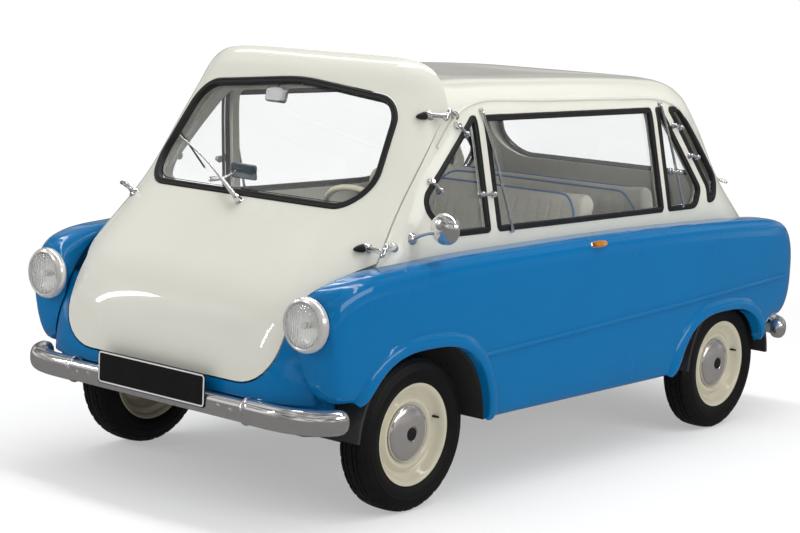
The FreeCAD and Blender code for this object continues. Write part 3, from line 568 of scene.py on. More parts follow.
# Roof and pillars. One pressing behind the front door's dome, with openings for
# four windows on each side.
ROOF_WALL = 0.038
SHUT_GAP = 0.006
SIDE_LOW = 0.856
SIDE_HIGH = 1.238
side_windows = {
    "front_vent": ([(-0.750, SIDE_LOW), (-0.512, SIDE_LOW), (-0.572, SIDE_HIGH), (-0.598, SIDE_HIGH),
                    (-0.868, 0.968)], [0.062, 0.014, 0.014, 0.030, 0.060]),
    "middle": ([(-0.478, SIDE_LOW), (0.516, SIDE_LOW), (0.444, SIDE_HIGH), (-0.540, SIDE_HIGH)],
               [0.022, 0.016, 0.016, 0.016]),
    "rear_vent": ([(0.542, SIDE_LOW), (0.738, SIDE_LOW), (0.770, 0.930), (0.506, SIDE_HIGH),
                   (0.470, SIDE_HIGH)],
                  [0.014, 0.050, 0.040, 0.012, 0.012]),
    "corner_pane": ([(0.812, 0.872), (0.868, 0.872), (0.905, 0.968), (0.640, SIDE_HIGH), (0.545, SIDE_HIGH),
                     (0.806, 0.930)], [0.014, 0.045, 0.060, 0.050, 0.014, 0.060]),
}
upper = shell_solid("upper_skin", roof_line[roof_line[:, 1] > 0.70], ROOF_WALL, PANEL_SPACING * 1.25)
upper_foot = BELT_HEIGHT - 0.024
upper_zone = prism("upper_zone", [(-1.3, upper_foot), (1.3, upper_foot), (1.3, 1.7), (-1.3, 1.7)],
                   "X", -0.9, 0.9)
gap_shut = [(y + SHUT_GAP, z) for y, z in shut_line[:5]] + shut_line[5:]
gap_rear = [(y - SHUT_GAP, z) for y, z in rear_shut[:5]] + rear_shut[5:]
carve(upper_zone, prism("gap_tool", gap_shut, "X", -1.0, 1.0), "DIFFERENCE")
carve(upper_zone, prism("gap_tool", gap_rear, "X", -1.0, 1.0), "DIFFERENCE")
for points, radii in side_windows.values():
    carve(upper_zone, prism("pane_tool", rounded_outline(points, radii), "X", -1.0, 1.0), "DIFFERENCE")
carve(upper, upper_zone, "INTERSECT")
polish(upper, skin_of(roof_table))
upper.data.materials.append(cream_look)
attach(upper, "body")
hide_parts("upper_body")

# Blue sides. Each is one deep pressing with the wing at its front and the tail
# swelling at its back, drawn over squared ovals and cut out over the wheels.
SIDE_STATIONS = [
    (-1.345, 0.526, 0.672, 0.558, 0.722, 2.0), (-1.330, 0.530, 0.686, 0.445, 0.738, 2.5),
    (-1.300, 0.545, 0.695, 0.404, 0.752, 3.2), (-1.230, 0.560, 0.702, 0.396, 0.771, 4.2),
    (-1.080, 0.560, 0.708, 0.300, 0.789, 5.0), (-0.880, 0.560, 0.712, 0.262, 0.802, 5.5),
    (-0.500, 0.560, 0.715, 0.262, 0.812, 6.0), (0.000, 0.560, 0.715, 0.262, 0.818, 6.0),
    (0.500, 0.560, 0.715, 0.262, 0.816, 6.0), (0.900, 0.560, 0.712, 0.262, 0.808, 5.5),
    (1.100, 0.560, 0.708, 0.300, 0.800, 5.0), (1.230, 0.560, 0.702, 0.396, 0.786, 4.2),
    (1.310, 0.545, 0.694, 0.400, 0.766, 3.4), (1.360, 0.512, 0.676, 0.420, 0.738, 2.8),
    (1.388, 0.530, 0.650, 0.460, 0.692, 2.3),
]
SIDE_FRONT, SIDE_LENGTH = -1.345, 2.733
SILL_HEIGHT = 0.262
AXLE_AHEAD = 0.910
AXLE_HEIGHT = 0.250
MERGE = 1e-6
side_scale = np.array([1, 1, 1, 1, 1, 0.02])
side_line = smooth_line(np.array(SIDE_STATIONS) * side_scale, 900) / side_scale


def side_form(y):
    """Inner, outer, bottom, top and squareness of the blue side at a station."""
    return [np.interp(y, side_line[:, 0], side_line[:, k]) for k in range(1, 6)]


def side_out(y, z):
    """How far out the blue side's skin lies at a point of the side view."""
    inner, outer, bottom, top, power = side_form(y)
    middle, half = (bottom + top) / 2, (top - bottom) / 2
    share = np.clip(np.abs(z - middle) / half, 0, 0.995)
    return (inner + outer) / 2 + (outer - inner) / 2 * (1 - share ** power) ** (1 / power)


def side_normal(path, sign=1):
    y, z = path[:, 1], path[:, 2]
    step = 0.002
    slope_y = (side_out(y + step, z) - side_out(y - step, z)) / (2 * step)
    slope_z = (side_out(y, z + step) - side_out(y, z - step)) / (2 * step)
    normal = np.stack([sign * np.ones_like(y), -slope_y, -slope_z], -1)
    return normal / np.linalg.norm(normal, axis=1)[:, None]


def tube_faces(rows, wide, closed=False):
    """Faces round rows of points: a tube with two ends, or closed to a ring."""
    faces = []
    for i in range(rows if closed else rows - 1):
        m = (i + 1) % rows
        for j in range(wide):
            n = (j + 1) % wide
            faces.append((i * wide + j, i * wide + n, m * wide + n, m * wide + j))
    if not closed:
        faces += [tuple(range(wide)), tuple(range((rows - 1) * wide, rows * wide))]
    return faces


def cabin_block(name, line, inset, spacing):
    """Closed solid of the whole cabin, as a tool to cut with."""
    count = int(4.0 / spacing)
    loop = line[np.linspace(0, len(line) - 1, count).astype(int)]
    base = np.stack([np.linspace(loop[-1, 0], loop[0, 0], 40)[1:-1], np.full(38, loop[0, 1])], -1)
    loop = np.concatenate([loop, base])
    reach = np.hypot(loop[:, 0], loop[:, 1] - CABIN_MIDDLE)
    shares = np.sin(np.linspace(-1, 1, int(1.6 / spacing)) * math.pi / 2) * FLAT_SHARE
    verts = []
    for c in shares:
        scale = (rounded(abs(c)) * reach - inset) / reach
        zz = CABIN_MIDDLE + (loop[:, 1] - CABIN_MIDDLE) * scale
        verts.extend(zip(c * (half_width(zz) - inset), loop[:, 0] * scale, zz))
    return tidied(new_piece(name, verts, tube_faces(len(shares), len(loop))), MERGE)


def smoothed(piece, angle=0.6):
    """Smooth shading, with a sharp edge where faces turn by more than the angle."""
    tidied(piece, MERGE)
    piece.data.polygons.foreach_set("use_smooth", [True] * len(piece.data.polygons))
    piece.data.set_sharp_from_angle(angle=angle)
    return piece


def dress(piece, look, slot, body, *nodes):
    """Gives a finished piece its look and its body, and hides the CAD nodes it stands for."""
    piece.data.materials.clear()
    piece.data.materials.append(look)
    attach(piece, body)
    if nodes:
        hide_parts(*nodes)
    return piece


ARCH_FOOT = 0.150
ARCH_POWER = 1 / 1.4


def arch_line(middle, half_span, crest, count):
    turn = np.linspace(0, math.pi, count)
    c, s = np.cos(turn), np.sin(turn)
    return np.stack([middle + half_span * np.sign(c) * np.abs(c) ** ARCH_POWER,
                     ARCH_FOOT + (crest - ARCH_FOOT) * np.abs(s) ** ARCH_POWER], -1)


def round_tool(name, y, radius, start, end):
    turn = np.linspace(0, 2 * math.pi, 97)[:-1]
    ring = np.stack([y + radius * np.cos(turn), AXLE_HEIGHT + radius * np.sin(turn)], -1)
    return prism(name, ring, "X", start, end)


front_arch = arch_line(-AXLE_AHEAD - 0.005, 0.314, 0.535, 90)
rear_arch = arch_line(AXLE_AHEAD - 0.085, 0.318, 0.474, 90)
cutters = [round_tool("house_tool", -AXLE_AHEAD, 0.300, 0.40, 0.675),
           round_tool("house_tool", AXLE_AHEAD, 0.278, 0.40, 0.668),
           prism("arch_tool", front_arch, "X", 0.30, 0.80),
           prism("arch_tool", rear_arch, "X", 0.63, 0.80),
           prism("sill_tool", [(-1.7, 0.0), (1.7, 0.0), (1.7, SILL_HEIGHT), (-1.7, SILL_HEIGHT)],
                 "X", 0.2, 0.9),
           cabin_block("cabin_tool", dome_line, -0.0035, 0.02)]

rows = int(SIDE_LENGTH / PANEL_SPACING)
ring_points = int(1.4 / PANEL_SPACING)
even_steps = np.linspace(0, SIDE_LENGTH, rows)
end_steps = SIDE_LENGTH * (0.5 - 0.5 * np.cos(np.linspace(0, math.pi, rows)))
turn = np.linspace(0, 2 * math.pi, 1441)[:-1]
verts = []
for y in SIDE_FRONT + end_steps * 0.35 + even_steps * 0.65:
    inner, outer, bottom, top, power = side_form(y)
    across = np.sign(np.cos(turn)) * np.abs(np.cos(turn)) ** (2 / power)
    up = np.sign(np.sin(turn)) * np.abs(np.sin(turn)) ** (2 / power)
    ring = np.stack([(inner + outer) / 2 + (outer - inner) / 2 * across,
                     (top + bottom) / 2 + (top - bottom) / 2 * up], -1)
    ring = np.concatenate([ring, ring[:1]])
    along = np.r_[0, np.cumsum(np.linalg.norm(np.diff(ring, axis=0), axis=1))]
    at = np.linspace(0, along[-1], ring_points + 1)[:-1]
    verts.extend(zip(np.interp(at, along, ring[:, 0]), [y] * ring_points, np.interp(at, along, ring[:, 1])))
left_side = tidied(new_piece("left_side_panel", verts, tube_faces(rows, ring_points)), MERGE)
for tool in cutters:
    carve(left_side, tool, "DIFFERENCE")
smoothed(left_side, 0.5)


def mirrored_piece(piece, name):
    mesh = piece.data.copy()
    mesh.name = name
    places = read_out(mesh.vertices, "co")
    places[:, 0] *= -1
    mesh.vertices.foreach_set("co", places.ravel())
    mesh.flip_normals()
    twin = bpy.data.objects.new(name, mesh)
    scene.collection.objects.link(twin)
    return twin


def sweep(name, path, normals, profile, closed=False, angle=0.6):
    """Runs a closed section of (across, outward) points along a path that lies
    on a surface."""
    path, normals = np.asarray(path, float), np.asarray(normals, float)
    tangent = np.roll(path, -1, 0) - np.roll(path, 1, 0)
    if not closed:
        tangent[0], tangent[-1] = path[1] - path[0], path[-1] - path[-2]
    tangent /= np.linalg.norm(tangent, axis=1)[:, None]
    beside = np.cross(tangent, normals)
    beside /= np.linalg.norm(beside, axis=1)[:, None]
    outward = np.cross(beside, tangent)
    section = np.array(profile, float)
    verts = path[:, None] + beside[:, None] * section[None, :, :1]
    verts = verts + outward[:, None] * section[None, :, 1:]
    faces = tube_faces(len(path), len(section), closed)
    return smoothed(new_piece(name, verts.reshape(-1, 3), faces), angle)


def joined(name, pieces):
    work = bmesh.new()
    for piece in pieces:
        work.from_mesh(piece.data)
    mesh = bpy.data.meshes.new(name)
    work.to_mesh(mesh)
    work.free()
    for piece in pieces:
        bpy.data.objects.remove(piece)
    whole = bpy.data.objects.new(name, mesh)
    scene.collection.objects.link(whole)
    return whole


def even(outline, spacing, closed=True):
    outline = np.asarray(outline, float)
    line = np.concatenate([outline, outline[:1]]) if closed else outline
    along = np.r_[0, np.cumsum(np.linalg.norm(np.diff(line, axis=0), axis=1))]
    count = max(int(along[-1] / spacing), 3)
    at = np.linspace(0, along[-1], count + 1)
    if closed:
        at = at[:-1]
    return np.stack([np.interp(at, along, line[:, k]) for k in range(line.shape[1])], -1)


FLARE = [(0.002, -0.030), (0.000, 0.000), (0.002, 0.008), (0.007, 0.012), (0.016, 0.0135), (0.028, 0.012),
         (0.038, 0.008), (0.046, 0.0025), (0.050, -0.002), (0.012, -0.004), (0.008, -0.030)]


def flare(name, arch):
    """Rolled flange round a wheel opening."""
    line = even(arch[::-1], 0.009, closed=False)
    line = line[line[:, 1] > np.maximum(SILL_HEIGHT, side_form(line[:, 0])[2] + 0.004)]
    path = np.stack([side_out(line[:, 0], line[:, 1]), line[:, 0], line[:, 1]], -1)
    return sweep(name, path, side_normal(path), [(-a, h) for a, h in FLARE])


bead_y = np.linspace(-0.652, 1.285, 190)
bead_z = np.interp(bead_y, [-0.652, -0.319, 0.278, 0.841, 1.285], [0.482, 0.497, 0.522, 0.547, 0.566])
bead_path = np.stack([side_out(bead_y, bead_z), bead_y, bead_z], -1)
side_bead = sweep("side_bead", bead_path, side_normal(bead_path),
                  [(-0.0095, -0.002), (-0.0075, 0.0036), (-0.0035, 0.0068), (0.0035, 0.0068),
                   (0.0075, 0.0036), (0.0095, -0.002)])
left_trim = joined("left_arch_flanges",
                   [flare("front_flare", front_arch), flare("rear_flare", rear_arch), side_bead])
right_trim = mirrored_piece(left_trim, "right_arch_flanges")
right_side = mirrored_piece(left_side, "right_side_panel")
dress(left_side, blue_look, "blue_paint", "body", "side_panel_left")
dress(right_side, blue_look, "blue_paint", "body", "side_panel_right")
dress(left_trim, blue_look, "blue_paint", "body")
dress(right_trim, blue_look, "blue_paint", "body")

# Aprons. Under each door the blue sheet wraps round the door's lower corners and
# steps back behind the bumper.
APRON_WALL = 0.045
APRON_HALF = 0.590
STEP_HEIGHT = 0.388
STEP_DEPTH = 0.025


def slab(name, low, high):
    outline = [(low[1], low[2]), (high[1], low[2]), (high[1], high[2]), (low[1], high[2])]
    return prism(name, outline, "X", low[0], high[0])


def apron(name, line, table, end):
    low_run = line[(line[:, 1] < 0.66) & (line[:, 0] * end > 0.9)]
    wrap = shell_solid(name, low_run, APRON_WALL, PANEL_SPACING)
    near, far = sorted([end * 1.222, end * 1.7])
    wrap_zone = slab("apron_zone", (-APRON_HALF, near, STEP_HEIGHT), (APRON_HALF, far, 0.640))
    carve(wrap, wrap_zone, "INTERSECT")
    door_hole = prism("door_hole", door_outline(0.006), "Y", near - 0.2, far + 0.2)
    carve(wrap, door_hole, "DIFFERENCE")
    polish(wrap, skin_of(table))
    step = shell_solid(name + "_step", low_run, APRON_WALL, PANEL_SPACING, STEP_DEPTH)
    step_zone = slab("step_zone", (-APRON_HALF, near, 0.302), (APRON_HALF, far, STEP_HEIGHT + 0.001))
    carve(step, step_zone, "INTERSECT")
    polish(step, skin_of(table, STEP_DEPTH))
    dress(wrap, blue_look, "blue_paint", "body", "aprons")
    dress(step, blue_look, "blue_paint", "body")


apron("front_apron", dome_line, dome_table, -1)
apron("rear_apron", roof_line, roof_table, 1)

# Window rubber and glass. A black moulding with a locking groove is pressed over
# the edge of the sheet round each window, and holds a curved pane.
RUBBER_WIDTH = 0.021
GLASS_DEPTH = 0.012
GLASS_WALL = 0.005


def black_rubber(name, color, shade, grain):
    return finish(name, color, shade, (9.0, 6.0), (grain, 4.0), (0.25, 0.0008), (0.36, 0.62),
                  sockets=[("Specular IOR Level", 0.22)])


rubber_look = black_rubber("window_rubber", (0.012, 0.012, 0.013), (0.030, 0.030, 0.031), 260.0)
RUBBER_SECTION = [(-0.0105, -0.007), (-0.0108, -0.001), (-0.0090, 0.0035), (-0.0055, 0.0052),
                  (-0.0022, 0.0048), (-0.0008, 0.0030), (0.0008, 0.0030), (0.0022, 0.0048),
                  (0.0055, 0.0050), (0.0092, 0.0028), (0.0108, -0.003), (0.0106, -0.020), (0.0060, -0.021),
                  (0.0055, -0.007)]


def clear_glass():
    look = bpy.data.materials.new("clear_glass")
    look.use_nodes = True
    nodes = look.node_tree.nodes
    glass = nodes["Principled BSDF"]
    glass.inputs["Base Color"].default_value = (0.985, 0.993, 0.990, 1)
    glass.inputs["IOR"].default_value = 1.45
    glass.inputs["Transmission Weight"].default_value = 1.0
    place = nodes.new("ShaderNodeTexCoord")
    haze = nodes.new("ShaderNodeTexNoise")
    haze.inputs["Scale"].default_value = 5.0
    film = nodes.new("ShaderNodeMapRange")
    film.inputs["To Min"].default_value = 0.0
    film.inputs["To Max"].default_value = 0.02
    lets_through = nodes.new("ShaderNodeBsdfTransparent")
    lets_through.inputs["Color"].default_value = (0.95, 0.97, 0.96, 1)
    rays = nodes.new("ShaderNodeLightPath")
    mix = nodes.new("ShaderNodeMixShader")
    wire(look.node_tree, [
        (place, "Object", haze, "Vector"), (haze, "Fac", film, "Value"),
        (film, "Result", glass, "Roughness"), (rays, "Is Shadow Ray", mix, "Fac"),
        (glass, "BSDF", mix, 1), (lets_through, "BSDF", mix, 2),
        (mix, "Shader", nodes["Material Output"], "Surface")])
    return look


glass_look = clear_glass()


def gasket(name, outline, place, table):
    line = even(outline, 0.010)
    path = place(line[:, 0], line[:, 1], 0.0)
    return sweep(name, path, skin_normal(path, table), RUBBER_SECTION, closed=True)


def pane(name, outline, place, rings=14):
    """Curved sheet of glass: its two faces and the edge between them."""
    line = even(outline, 0.020)
    middle = line.mean(axis=0)
    verts = []
    count = len(line)
    for inset in (GLASS_DEPTH, GLASS_DEPTH + GLASS_WALL):
        for k in range(1, rings + 1):
            spot = middle + (line - middle) * k / rings
            verts.extend(place(spot[:, 0], spot[:, 1], inset))
        verts.extend(place(middle[:1], middle[1:], inset))
    half = rings * count + 1
    faces = []
    for side in (0, half):
        for i in range(rings - 1):
            for j in range(count):
                n = (j + 1) % count
                faces.append((side + i * count + j, side + i * count + n, side + (i + 1) * count + n,
                              side + (i + 1) * count + j))
        for j in range(count):
            faces.append((side + half - 1, side + j, side + (j + 1) % count))
    rim = (rings - 1) * count
    for j in range(count):
        n = (j + 1) % count
        faces.append((rim + j, rim + n, rim + n + half, rim + j + half))
    return smoothed(new_piece(name, verts, faces), 0.8)


def end_place(table, end):
    return lambda x, z, inset: end_point(x, z, table, inset, end)


def flank_place(side):
    return lambda y, z, inset: side_point(y, z, roof_table, inset, side)


for end_name, top, table, end in (("front", FRONT_SCREEN_TOP, dome_table, -1),
                                  ("rear", REAR_SCREEN_TOP, roof_table, 1)):
    rim = screen_outline(RUBBER_WIDTH / 2, top)[::end]
    seat = gasket(end_name + "_screen_gasket", rim, end_place(table, end), table)
    dress(seat, rubber_look, "window_rubber", end_name + "_door", end_name + "_screen_rubber")
    screen = pane(end_name + "_screen_pane", screen_outline(RUBBER_WIDTH - 0.002, top),
                  end_place(table, end))
    dress(screen, glass_look, "clear_glass", end_name + "_door", end_name + "_screen_glass")


def drawn_in(points, radii, inset):
    """Window outline with every side moved inward."""
    points = [np.array(p, float) for p in points]
    turning = sum(a[0] * b[1] - b[0] * a[1] for a, b in zip(np.roll(points, 1, 0), points))
    spin = 1 if turning > 0 else -1
    inner = []
    for k, here in enumerate(points):
        back, ahead = here - points[k - 1], points[(k + 1) % len(points)] - here
        back /= np.linalg.norm(back)
        ahead /= np.linalg.norm(ahead)
        n_back = spin * np.array([-back[1], back[0]])
        n_ahead = spin * np.array([-ahead[1], ahead[0]])
        inner.append(here + (n_back + n_ahead) * inset / (1 + n_back @ n_ahead))
    bends = []
    for k, radius in enumerate(radii):
        back = points[k] - points[k - 1]
        ahead = points[(k + 1) % len(points)] - points[k]
        inward = spin * (back[0] * ahead[1] - back[1] * ahead[0]) > 0
        bends.append(max(radius - inset, 0.003) if inward else radius + inset)
    return rounded_outline(inner, bends)


seals, lights = [], []
for side in (1, -1):
    for name, (points, radii) in side_windows.items():
        line = drawn_in(points, radii, RUBBER_WIDTH / 2)
        turning = np.sum(line[:-1, 0] * line[1:, 1] - line[1:, 0] * line[:-1, 1])
        if turning * side < 0:
            line = line[::-1]
        seals.append(gasket("seal", line, flank_place(side), roof_table))
        lights.append(pane("light", drawn_in(points, radii, RUBBER_WIDTH - 0.002), flank_place(side), 9))
dress(joined("side_window_gaskets", seals), rubber_look, "window_rubber", "body", "side_rubbers")
dress(joined("side_window_panes", lights), glass_look, "clear_glass", "body", "side_glass")

# Headlamps. Each has a spun bowl and rim of satin metal, held by a screw at the
# foot, a bulb in its middle and a pressed glass with upright flutes.
LAMP_BASE = np.array([0.590, -1.345, 0.640])


def turns(steps):
    """Angles evenly spaced over a full turn."""
    return [2 * math.pi * k / steps for k in range(steps)]


def lathe(name, profile, base, direction, steps=64, angle=0.5):
    """Solid of revolution of (radius, distance along the axis) points."""
    aim = Vector(direction).normalized()
    turn = Vector((0, 0, 1)).rotation_difference(aim).to_matrix()
    verts, rings = [], []
    for r, h in profile:
        if r < 1e-6:
            rings.append([len(verts)])
            verts.append((0, 0, h))
            continue
        rings.append(list(range(len(verts), len(verts) + steps)))
        verts.extend((r * math.cos(a), r * math.sin(a), h) for a in turns(steps))
    faces = []
    closed = len(rings[0]) > 1
    pairs = list(zip(rings, rings[1:])) + ([(rings[-1], rings[0])] if closed else [])
    for a, b in pairs:
        for k in range(steps):
            n = (k + 1) % steps
            if len(a) == 1:
                faces.append((a[0], b[n], b[k]))
            elif len(b) == 1:
                faces.append((a[k], a[n], b[0]))
            else:
                faces.append((a[k], a[n], b[n], b[k]))
    base = Vector([float(v) for v in base])
    return smoothed(new_piece(name, [turn @ Vector(v) + base for v in verts], faces), angle)


def bright_metal(name, color, low, high, streaks, metallic=0.90):
    return finish(name, color, [c * 0.82 for c in color], (streaks, 5.0), None, None, (low, high),
                  sockets=[("Metallic", metallic)])


chrome_look = bright_metal("chrome", (0.90, 0.89, 0.89), 0.03, 0.12, 60.0)
satin_look = bright_metal("brushed_cap", (0.70, 0.67, 0.64), 0.14, 0.26, 90.0, 0.72)
lamp_rim_look = bright_metal("lamp_rim", (0.86, 0.85, 0.83), 0.12, 0.24, 60.0, 0.52)


def lamp_glass(name, color, ribs):
    """Coloured or clear pressed glass, ribbed along one direction."""
    look = bpy.data.materials.new(name)
    look.use_nodes = True
    nodes = look.node_tree.nodes
    glass = nodes["Principled BSDF"]
    glass.inputs["Base Color"].default_value = (*color, 1)
    glass.inputs["Roughness"].default_value = 0.04
    glass.inputs["IOR"].default_value = 1.42
    glass.inputs["Transmission Weight"].default_value = 0.9
    place = nodes.new("ShaderNodeTexCoord")
    flutes = nodes.new("ShaderNodeTexWave")
    flutes.inputs["Scale"].default_value = ribs
    flutes.inputs["Distortion"].default_value = 0.4
    ripple = nodes.new("ShaderNodeBump")
    ripple.inputs["Strength"].default_value = 0.5
    ripple.inputs["Distance"].default_value = 0.0015
    wire(look.node_tree, [(place, "Object", flutes, "Vector"), (flutes, "Fac", ripple, "Height"),
                          (ripple, "Normal", glass, "Normal")])
    return look


head_glass_look = lamp_glass("headlamp_glass", (0.97, 0.98, 0.97), 34.0)
RING_PROFILE = [(0.0, 0.001), (0.074, 0.001), (0.081, 0.003), (0.0845, 0.009), (0.0850, 0.018),
                (0.0835, 0.027), (0.0790, 0.0335), (0.0735, 0.0355), (0.0700, 0.0345), (0.0685, 0.0305),
                (0.0675, 0.024), (0.060, 0.016), (0.044, 0.009), (0.022, 0.0065), (0.0, 0.006)]
BULB_PROFILE = [(0.0, 0.007), (0.009, 0.007), (0.010, 0.012), (0.009, 0.017), (0.012, 0.022),
                (0.010, 0.029), (0.0, 0.032)]
GLASS_RADIUS = 0.0672
FLUTE_WIDTH = 0.0048
FLUTE_DEPTH = 0.0009
GLASS_FACES = ((0.0500, 0.0345), (0.0462, 0.0310))
flute_rings, flute_steps = 22, 144


def fluted_glass(base):
    """Domed lamp glass: two faces of (crown, rim) heights, the outer one fluted."""
    verts = [(0, 0, crown) for crown, _ in GLASS_FACES]
    for layer, (crown, rim_height) in enumerate(GLASS_FACES):
        for i in range(1, flute_rings + 1):
            r = GLASS_RADIUS * i / flute_rings
            height = rim_height + (crown - rim_height) * (1 - (r / GLASS_RADIUS) ** 2.2)
            fluted = layer == 0 and i < flute_rings
            for a in turns(flute_steps):
                x = r * math.cos(a)
                rib = FLUTE_DEPTH * abs(math.sin(x / FLUTE_WIDTH * math.pi)) if fluted else 0
                verts.append((x, r * math.sin(a), height - rib))
    faces = []
    layer_size = flute_rings * flute_steps
    for layer in (0, 1):
        first = 2 + layer * layer_size
        for k in range(flute_steps):
            faces.append((layer, first + k, first + (k + 1) % flute_steps))
        for a in range(first, first + layer_size - flute_steps, flute_steps):
            for k in range(flute_steps):
                n = (k + 1) % flute_steps
                faces.append((a + k, a + n, a + flute_steps + n, a + flute_steps + k))
    outer_rim = 2 + layer_size - flute_steps
    for k in range(flute_steps):
        n = (k + 1) % flute_steps
        faces.append((outer_rim + k, outer_rim + n, outer_rim + layer_size + n, outer_rim + layer_size + k))
    placed = [(base[0] + x, base[1] - h, base[2] + y) for x, y, h in verts]
    return smoothed(new_piece("glass", placed, faces), 0.9)


rims, bulbs, glasses = [], [], []
for side in (1, -1):
    base = LAMP_BASE * [side, 1, 1]
    rims.append(lathe("rim", RING_PROFILE, base, (0, -1, 0), 96))
    rims.append(lathe("screw", [(0, 0.0), (0.0035, 0.0), (0.0035, 0.0015), (0.0, 0.0022)],
                      base + [0, -0.0345, -0.0755], (0, -1, 0), 20))
    bulbs.append(lathe("bulb", BULB_PROFILE, base, (0, -1, 0), 32))
    glasses.append(fluted_glass(base))
dress(joined("headlamp_bowls", rims), lamp_rim_look, "chromed", "body", "headlamp_rings")
dress(joined("headlamp_bulbs", bulbs), satin_look, "chromed", "body")
dress(joined("headlamp_glasses", glasses), head_glass_look, "clear_glass", "body", "headlamp_lenses")

# Bumpers. A rolled and chromed bar, with a fatter horn clasped over each end that
# wraps round the corner, held by round-headed bolts.
BUMPER_Z = 0.350
BAR_HALF = 0.034
BAR_FACE = 1.430
BAR_DEPTH = 0.030
BAR_REACH = 0.405
HORN_START = 0.395
HORN_AXIS = 1.3985
BOLT_PROFILE = [(0, 0.0), (0.0075, 0.0), (0.0078, 0.0015), (0.0055, 0.0038), (0.0, 0.0052)]


def squared(value, power):
    """The value raised to a power, with its sign kept."""
    return math.copysign(abs(value) ** power, value)


def horn(side, end):
    """Corner piece, swept along its curved spine with a swelling oval."""
    spine = smooth_line([(HORN_START, -HORN_AXIS), (0.450, -HORN_AXIS), (0.540, -1.3935), (0.605, -1.373),
                         (0.650, -1.338), (0.674, -1.298), (0.682, -1.262)], 46)
    verts, steps, last = [], 40, len(spine) - 1
    for i, (x, y) in enumerate(spine):
        share = i / last
        ahead = spine[min(i + 1, last)] - spine[max(i - 1, 0)]
        ahead /= np.hypot(*ahead)
        beside = np.array([ahead[1], -ahead[0]])
        swell = min(1.0, (share / 0.045) ** 0.5)
        close = max(0.02, 1 - max(share - 0.90, 0) ** 2 / 0.10 ** 2) ** 0.5
        high, deep = 0.0395 * close * (0.90 + 0.10 * swell), 0.031 * close * (0.88 + 0.12 * swell)
        for a in turns(steps):
            spot = np.array([x, y]) + beside * (squared(math.cos(a), 0.8) * deep)
            verts.append((side * spot[0], -end * spot[1], BUMPER_Z + squared(math.sin(a), 0.8) * high))
    return smoothed(new_piece("horn", verts, tube_faces(len(spine), steps)), 0.8)


def bumper(name, end):
    """Rolled bar of a hollow half oval, with its two horns, bolts and arms."""
    half_turn = [math.pi * k / 32 for k in range(33)]
    section = [(-BAR_HALF * math.cos(a), BAR_DEPTH * abs(math.sin(a)) ** 0.35) for a in half_turn]
    section += [(BAR_HALF - 0.004, -0.0005), (BAR_HALF - 0.006, 0.012), (0, 0.016),
                (-BAR_HALF + 0.006, 0.012), (-BAR_HALF + 0.004, -0.0005)]
    across = np.linspace(-BAR_REACH, BAR_REACH, 60)
    path = np.stack([across, np.full(60, end * (BAR_FACE - BAR_DEPTH)), np.full(60, BUMPER_Z)], -1)
    parts = [sweep("bar", path, [(0, end, 0)] * 60, section)]
    around = np.linspace(0, 2 * math.pi, 61)[:-1]
    out = np.array([(0, end * math.cos(t), math.sin(t)) for t in around])
    bead = [(0.006 * math.cos(t), 0.0035 * math.sin(t)) for t in np.linspace(0, 2 * math.pi, 13)[:-1]]
    arm_near, arm_far = sorted([end * 1.3455, end * 1.403])
    for side in (1, -1):
        parts.append(horn(side, end))
        ring_path = np.array([(side * (HORN_START + 0.002), end * (HORN_AXIS + 0.0325 * math.cos(t)),
                               BUMPER_Z + 0.041 * math.sin(t)) for t in around])
        parts.append(sweep("horn_bead", ring_path, out, bead, closed=True))
        for x, z in ((0.352, 0.0), (0.300, 0.004)):
            bolt_foot = (side * x, end * (BAR_FACE - 0.0005), BUMPER_Z + z)
            parts.append(lathe("bolt", BOLT_PROFILE, bolt_foot, (0, end, 0), 24))
        arm_low, arm_high = (side * 0.30 - 0.020, arm_near, 0.335), (side * 0.30 + 0.020, arm_far, 0.365)
        parts.append(smoothed(slab("arm", arm_low, arm_high)))
    return joined(name, parts)


dress(bumper("front_bumper_bar", -1), chrome_look, "chromed", "body", "front_bumper")
dress(bumper("rear_bumper_bar", 1), chrome_look, "chromed", "body", "rear_bumper")

# Number plate. A pressed sheet in black enamel with a raised white border, screwed
# to the middle of the front bumper.
PLATE_HALF = 0.245
PLATE_LOW, PLATE_HIGH = 0.337, 0.443
PLATE_FACE = -BAR_FACE - 0.0035
plate_look = enamel("black_plate", (0.004, 0.004, 0.0045), (0.009, 0.009, 0.0095), 0.006, 14.0)
white_look = enamel("plate_border", (0.75, 0.75, 0.74), (0.66, 0.66, 0.65), 0.006, 14.0)


def plate_line(inset, corner):
    half, low, high = PLATE_HALF - inset, PLATE_LOW + inset, PLATE_HIGH - inset
    return rounded_outline([(-half, low), (half, low), (half, high), (-half, high)], [corner] * 4)


plate = prism("plate", plate_line(0, 0.008), "Y", PLATE_FACE, PLATE_FACE + 0.003)
edge_line = even(plate_line(0.005, 0.006), 0.01)
edge_path = np.stack([edge_line[:, 0], np.full(len(edge_line), PLATE_FACE + 0.0001), edge_line[:, 1]], -1)
border = sweep("plate_border", edge_path, [(0, -1, 0)] * len(edge_path),
               [(-0.0028, -0.001), (-0.0022, 0.0012), (0.0022, 0.0012), (0.0028, -0.001)], closed=True)
dress(smoothed(plate), plate_look, "black_plate", "body", "number_plate")
dress(border, white_look, "black_plate", "body")

